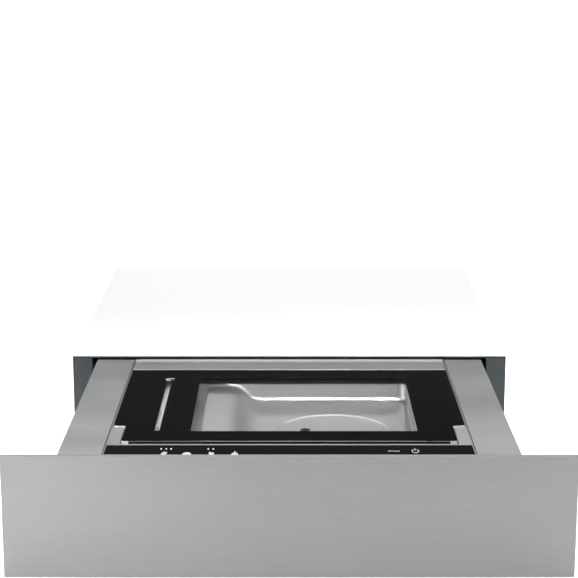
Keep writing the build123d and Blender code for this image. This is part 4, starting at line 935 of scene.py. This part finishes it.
class DRAWER_OT_stage(bpy.types.Operator):
    """Set the camera, the floor and the studio light"""

    bl_idname = "drawer.stage"
    bl_label = "Stage"

    def execute(self, context):
        scene = context.scene
        view = bpy.data.cameras.new("photo_view")
        view.lens = 102.65
        view.sensor_width = 36.0
        view.clip_end = 200.0
        camera = bpy.data.objects.new("photo_view", view)
        camera.location = (-0.00037, -2.0173, 0.6721)
        camera.rotation_euler = (radians(77.3475), 0, 0)
        scene.collection.objects.link(camera)
        scene.camera = camera

        # The floor lies just under the object's foot, and reaches past every view.
        reach, under = 40.0, -0.0005
        form = bmesh.new()
        bmesh.ops.create_grid(form, x_segments=1, y_segments=1, size=reach)
        mesh = bpy.data.meshes.new("studio_floor")
        form.to_mesh(mesh)
        form.free()
        floor = bpy.data.objects.new("studio_floor", mesh)
        floor.location.z = under
        scene.collection.objects.link(floor)
        made, tree, place = start("studio_paper")
        # Matt paper. A glow towards the camera makes it white, and its own light keeps the shadow.
        camera_glow, mirror_glow = 0.8, 0.05
        paper = node(tree, "ShaderNodeBsdfDiffuse", None, {"Color": scene.drawer_colours.floor}).outputs[0]
        path = node(tree, "ShaderNodeLightPath").outputs
        sockets = {0: path["Is Camera Ray"], 1: camera_glow}
        direct = node(tree, "ShaderNodeMath", {"operation": "MULTIPLY"}, sockets).outputs[0]
        sockets = {0: path["Is Glossy Ray"], 1: path["Is Transmission Ray"]}
        others = node(tree, "ShaderNodeMath", {"operation": "MAXIMUM"}, sockets).outputs[0]
        sockets = {0: others, 1: mirror_glow, 2: direct}
        strength = node(tree, "ShaderNodeMath", {"operation": "MULTIPLY_ADD"}, sockets).outputs[0]
        glow = node(tree, "ShaderNodeEmission", None, {"Strength": strength}).outputs[0]
        shader = node(tree, "ShaderNodeAddShader", None, {0: paper, 1: glow}).outputs[0]
        node(tree, "ShaderNodeOutputMaterial", None, {"Surface": shader})
        mesh.materials.append(made)

        world = bpy.data.worlds.new("studio")
        scene.world = world
        world.use_nodes = True
        tree = world.node_tree
        tree.nodes.clear()
        along = node(tree, "ShaderNodeTexCoord").outputs["Generated"]
        height = node(tree, "ShaderNodeSeparateXYZ", None, {0: along}).outputs[2]
        # Mirrors see a dark card low down behind the drawer, and white above it.
        ends = {"From Min": 0.42, "From Max": 0.72, "To Min": 0.045, "To Max": 1.0}
        settings = {"interpolation_type": "SMOOTHSTEP"}
        card = node(tree, "ShaderNodeMapRange", settings, {"Value": height, **ends}).outputs[0]
        # The room lights matt surfaces evenly, and the camera sees it white.
        room, white = 0.56, 1.0
        path = node(tree, "ShaderNodeLightPath").outputs
        sockets = {0: path["Is Glossy Ray"], 2: room, 3: card}
        mirrored = node(tree, "ShaderNodeMix", None, sockets).outputs[0]
        sockets = {0: path["Is Camera Ray"], 2: mirrored, 3: white}
        seen = node(tree, "ShaderNodeMix", None, sockets).outputs[0]
        light = node(tree, "ShaderNodeBackground", None, {"Strength": seen}).outputs[0]
        node(tree, "ShaderNodeOutputWorld", None, {"Surface": light})

        # The overhead and rear boxes make the steel shine, the window light draws the bright line along
        # the chamber's rear fillet, and the box and cards in front lift the ends of the front panel.
        # Each has its place, what it points at, its width and height, its watts and its beam in degrees.
        for name, spot, target, size, power, spread in (
            ("overhead_softbox", (0.1, -0.35, 1.6), (0.02, -0.2, 0.1), (1.6, 1.0), 4.0, 180),
            ("rear_softbox", (0.0, 1.3, 1.5), (0.0, -0.2, 0.12), (2.4, 0.8), 19.0, 180),
            ("window_light", (0.25, -1.5, 1.5), (0.0, -0.08, 0.1), (0.8, 0.2), 0.88, 10),
            ("left_softbox", (-1.5, -1.7, 0.9), (0.0, -0.4, 0.07), (0.9, 1.2), 2.0, 180),
            ("left_low_card", (-0.85, -0.95, 0.45), (-0.3, -0.6, 0.0), (0.4, 0.4), 2.3, 90),
            ("right_low_card", (0.9, -0.95, 0.45), (0.4, -0.6, 0.0), (0.4, 0.4), 1.2, 90),
        ):
            lamp = bpy.data.lights.new(name, "AREA")
            lamp.shape = "RECTANGLE"
            lamp.size, lamp.size_y = size
            lamp.energy = power
            lamp.spread = radians(spread)
            box = bpy.data.objects.new(name, lamp)
            box.location = spot
            box.rotation_euler = (Vector(target) - Vector(spot)).to_track_quat("-Z", "Y").to_euler()
            box.visible_camera = False
            scene.collection.objects.link(box)
        scene.view_settings.view_transform = "Standard"
        return {"FINISHED"}


CLASSES = (
    DrawerSizes,
    DrawerColours,
    DRAWER_OT_housing,
    DRAWER_OT_case_screws,
    DRAWER_OT_slides,
    DRAWER_OT_front,
    DRAWER_OT_carriage,
    DRAWER_OT_covers,
    DRAWER_OT_lid,
    DRAWER_OT_slot_clip,
    DRAWER_OT_chamber,
    DRAWER_OT_sealing_bar,
    DRAWER_OT_machinery,
    DRAWER_OT_controls,
    DRAWER_OT_symbols,
    DRAWER_OT_stage,
)
STEPS = [made.bl_idname for made in CLASSES if issubclass(made, bpy.types.Operator)]


class DRAWER_PT_panel(bpy.types.Panel):
    """Lists the drawer's colours, sizes and steps"""

    bl_idname = "DRAWER_PT_panel"
    bl_label = "Vacuum sealing drawer"
    bl_space_type = "VIEW_3D"
    bl_region_type = "UI"
    bl_category = "Drawer"

    def draw(self, context):
        layout = self.layout
        for group in (context.scene.drawer_colours, context.scene.drawer_sizes):
            for name in group.__annotations__:
                layout.prop(group, name)
        for step in STEPS:
            layout.operator(step)


def register():
    """Add the classes and the scene's properties."""
    for made in (*CLASSES, DRAWER_PT_panel):
        bpy.utils.register_class(made)
    bpy.types.Scene.drawer_sizes = bpy.props.PointerProperty(type=DrawerSizes)
    bpy.types.Scene.drawer_colours = bpy.props.PointerProperty(type=DrawerColours)


def unregister():
    """Take the classes and the scene's properties away."""
    del bpy.types.Scene.drawer_colours
    del bpy.types.Scene.drawer_sizes
    for made in reversed((*CLASSES, DRAWER_PT_panel)):
        bpy.utils.unregister_class(made)


def main():
    """Build the looks in order."""
    register()
    for step in STEPS:
        group, name = step.split(".")
        getattr(getattr(bpy.ops, group), name)()


if __name__ == "__main__":
    main()
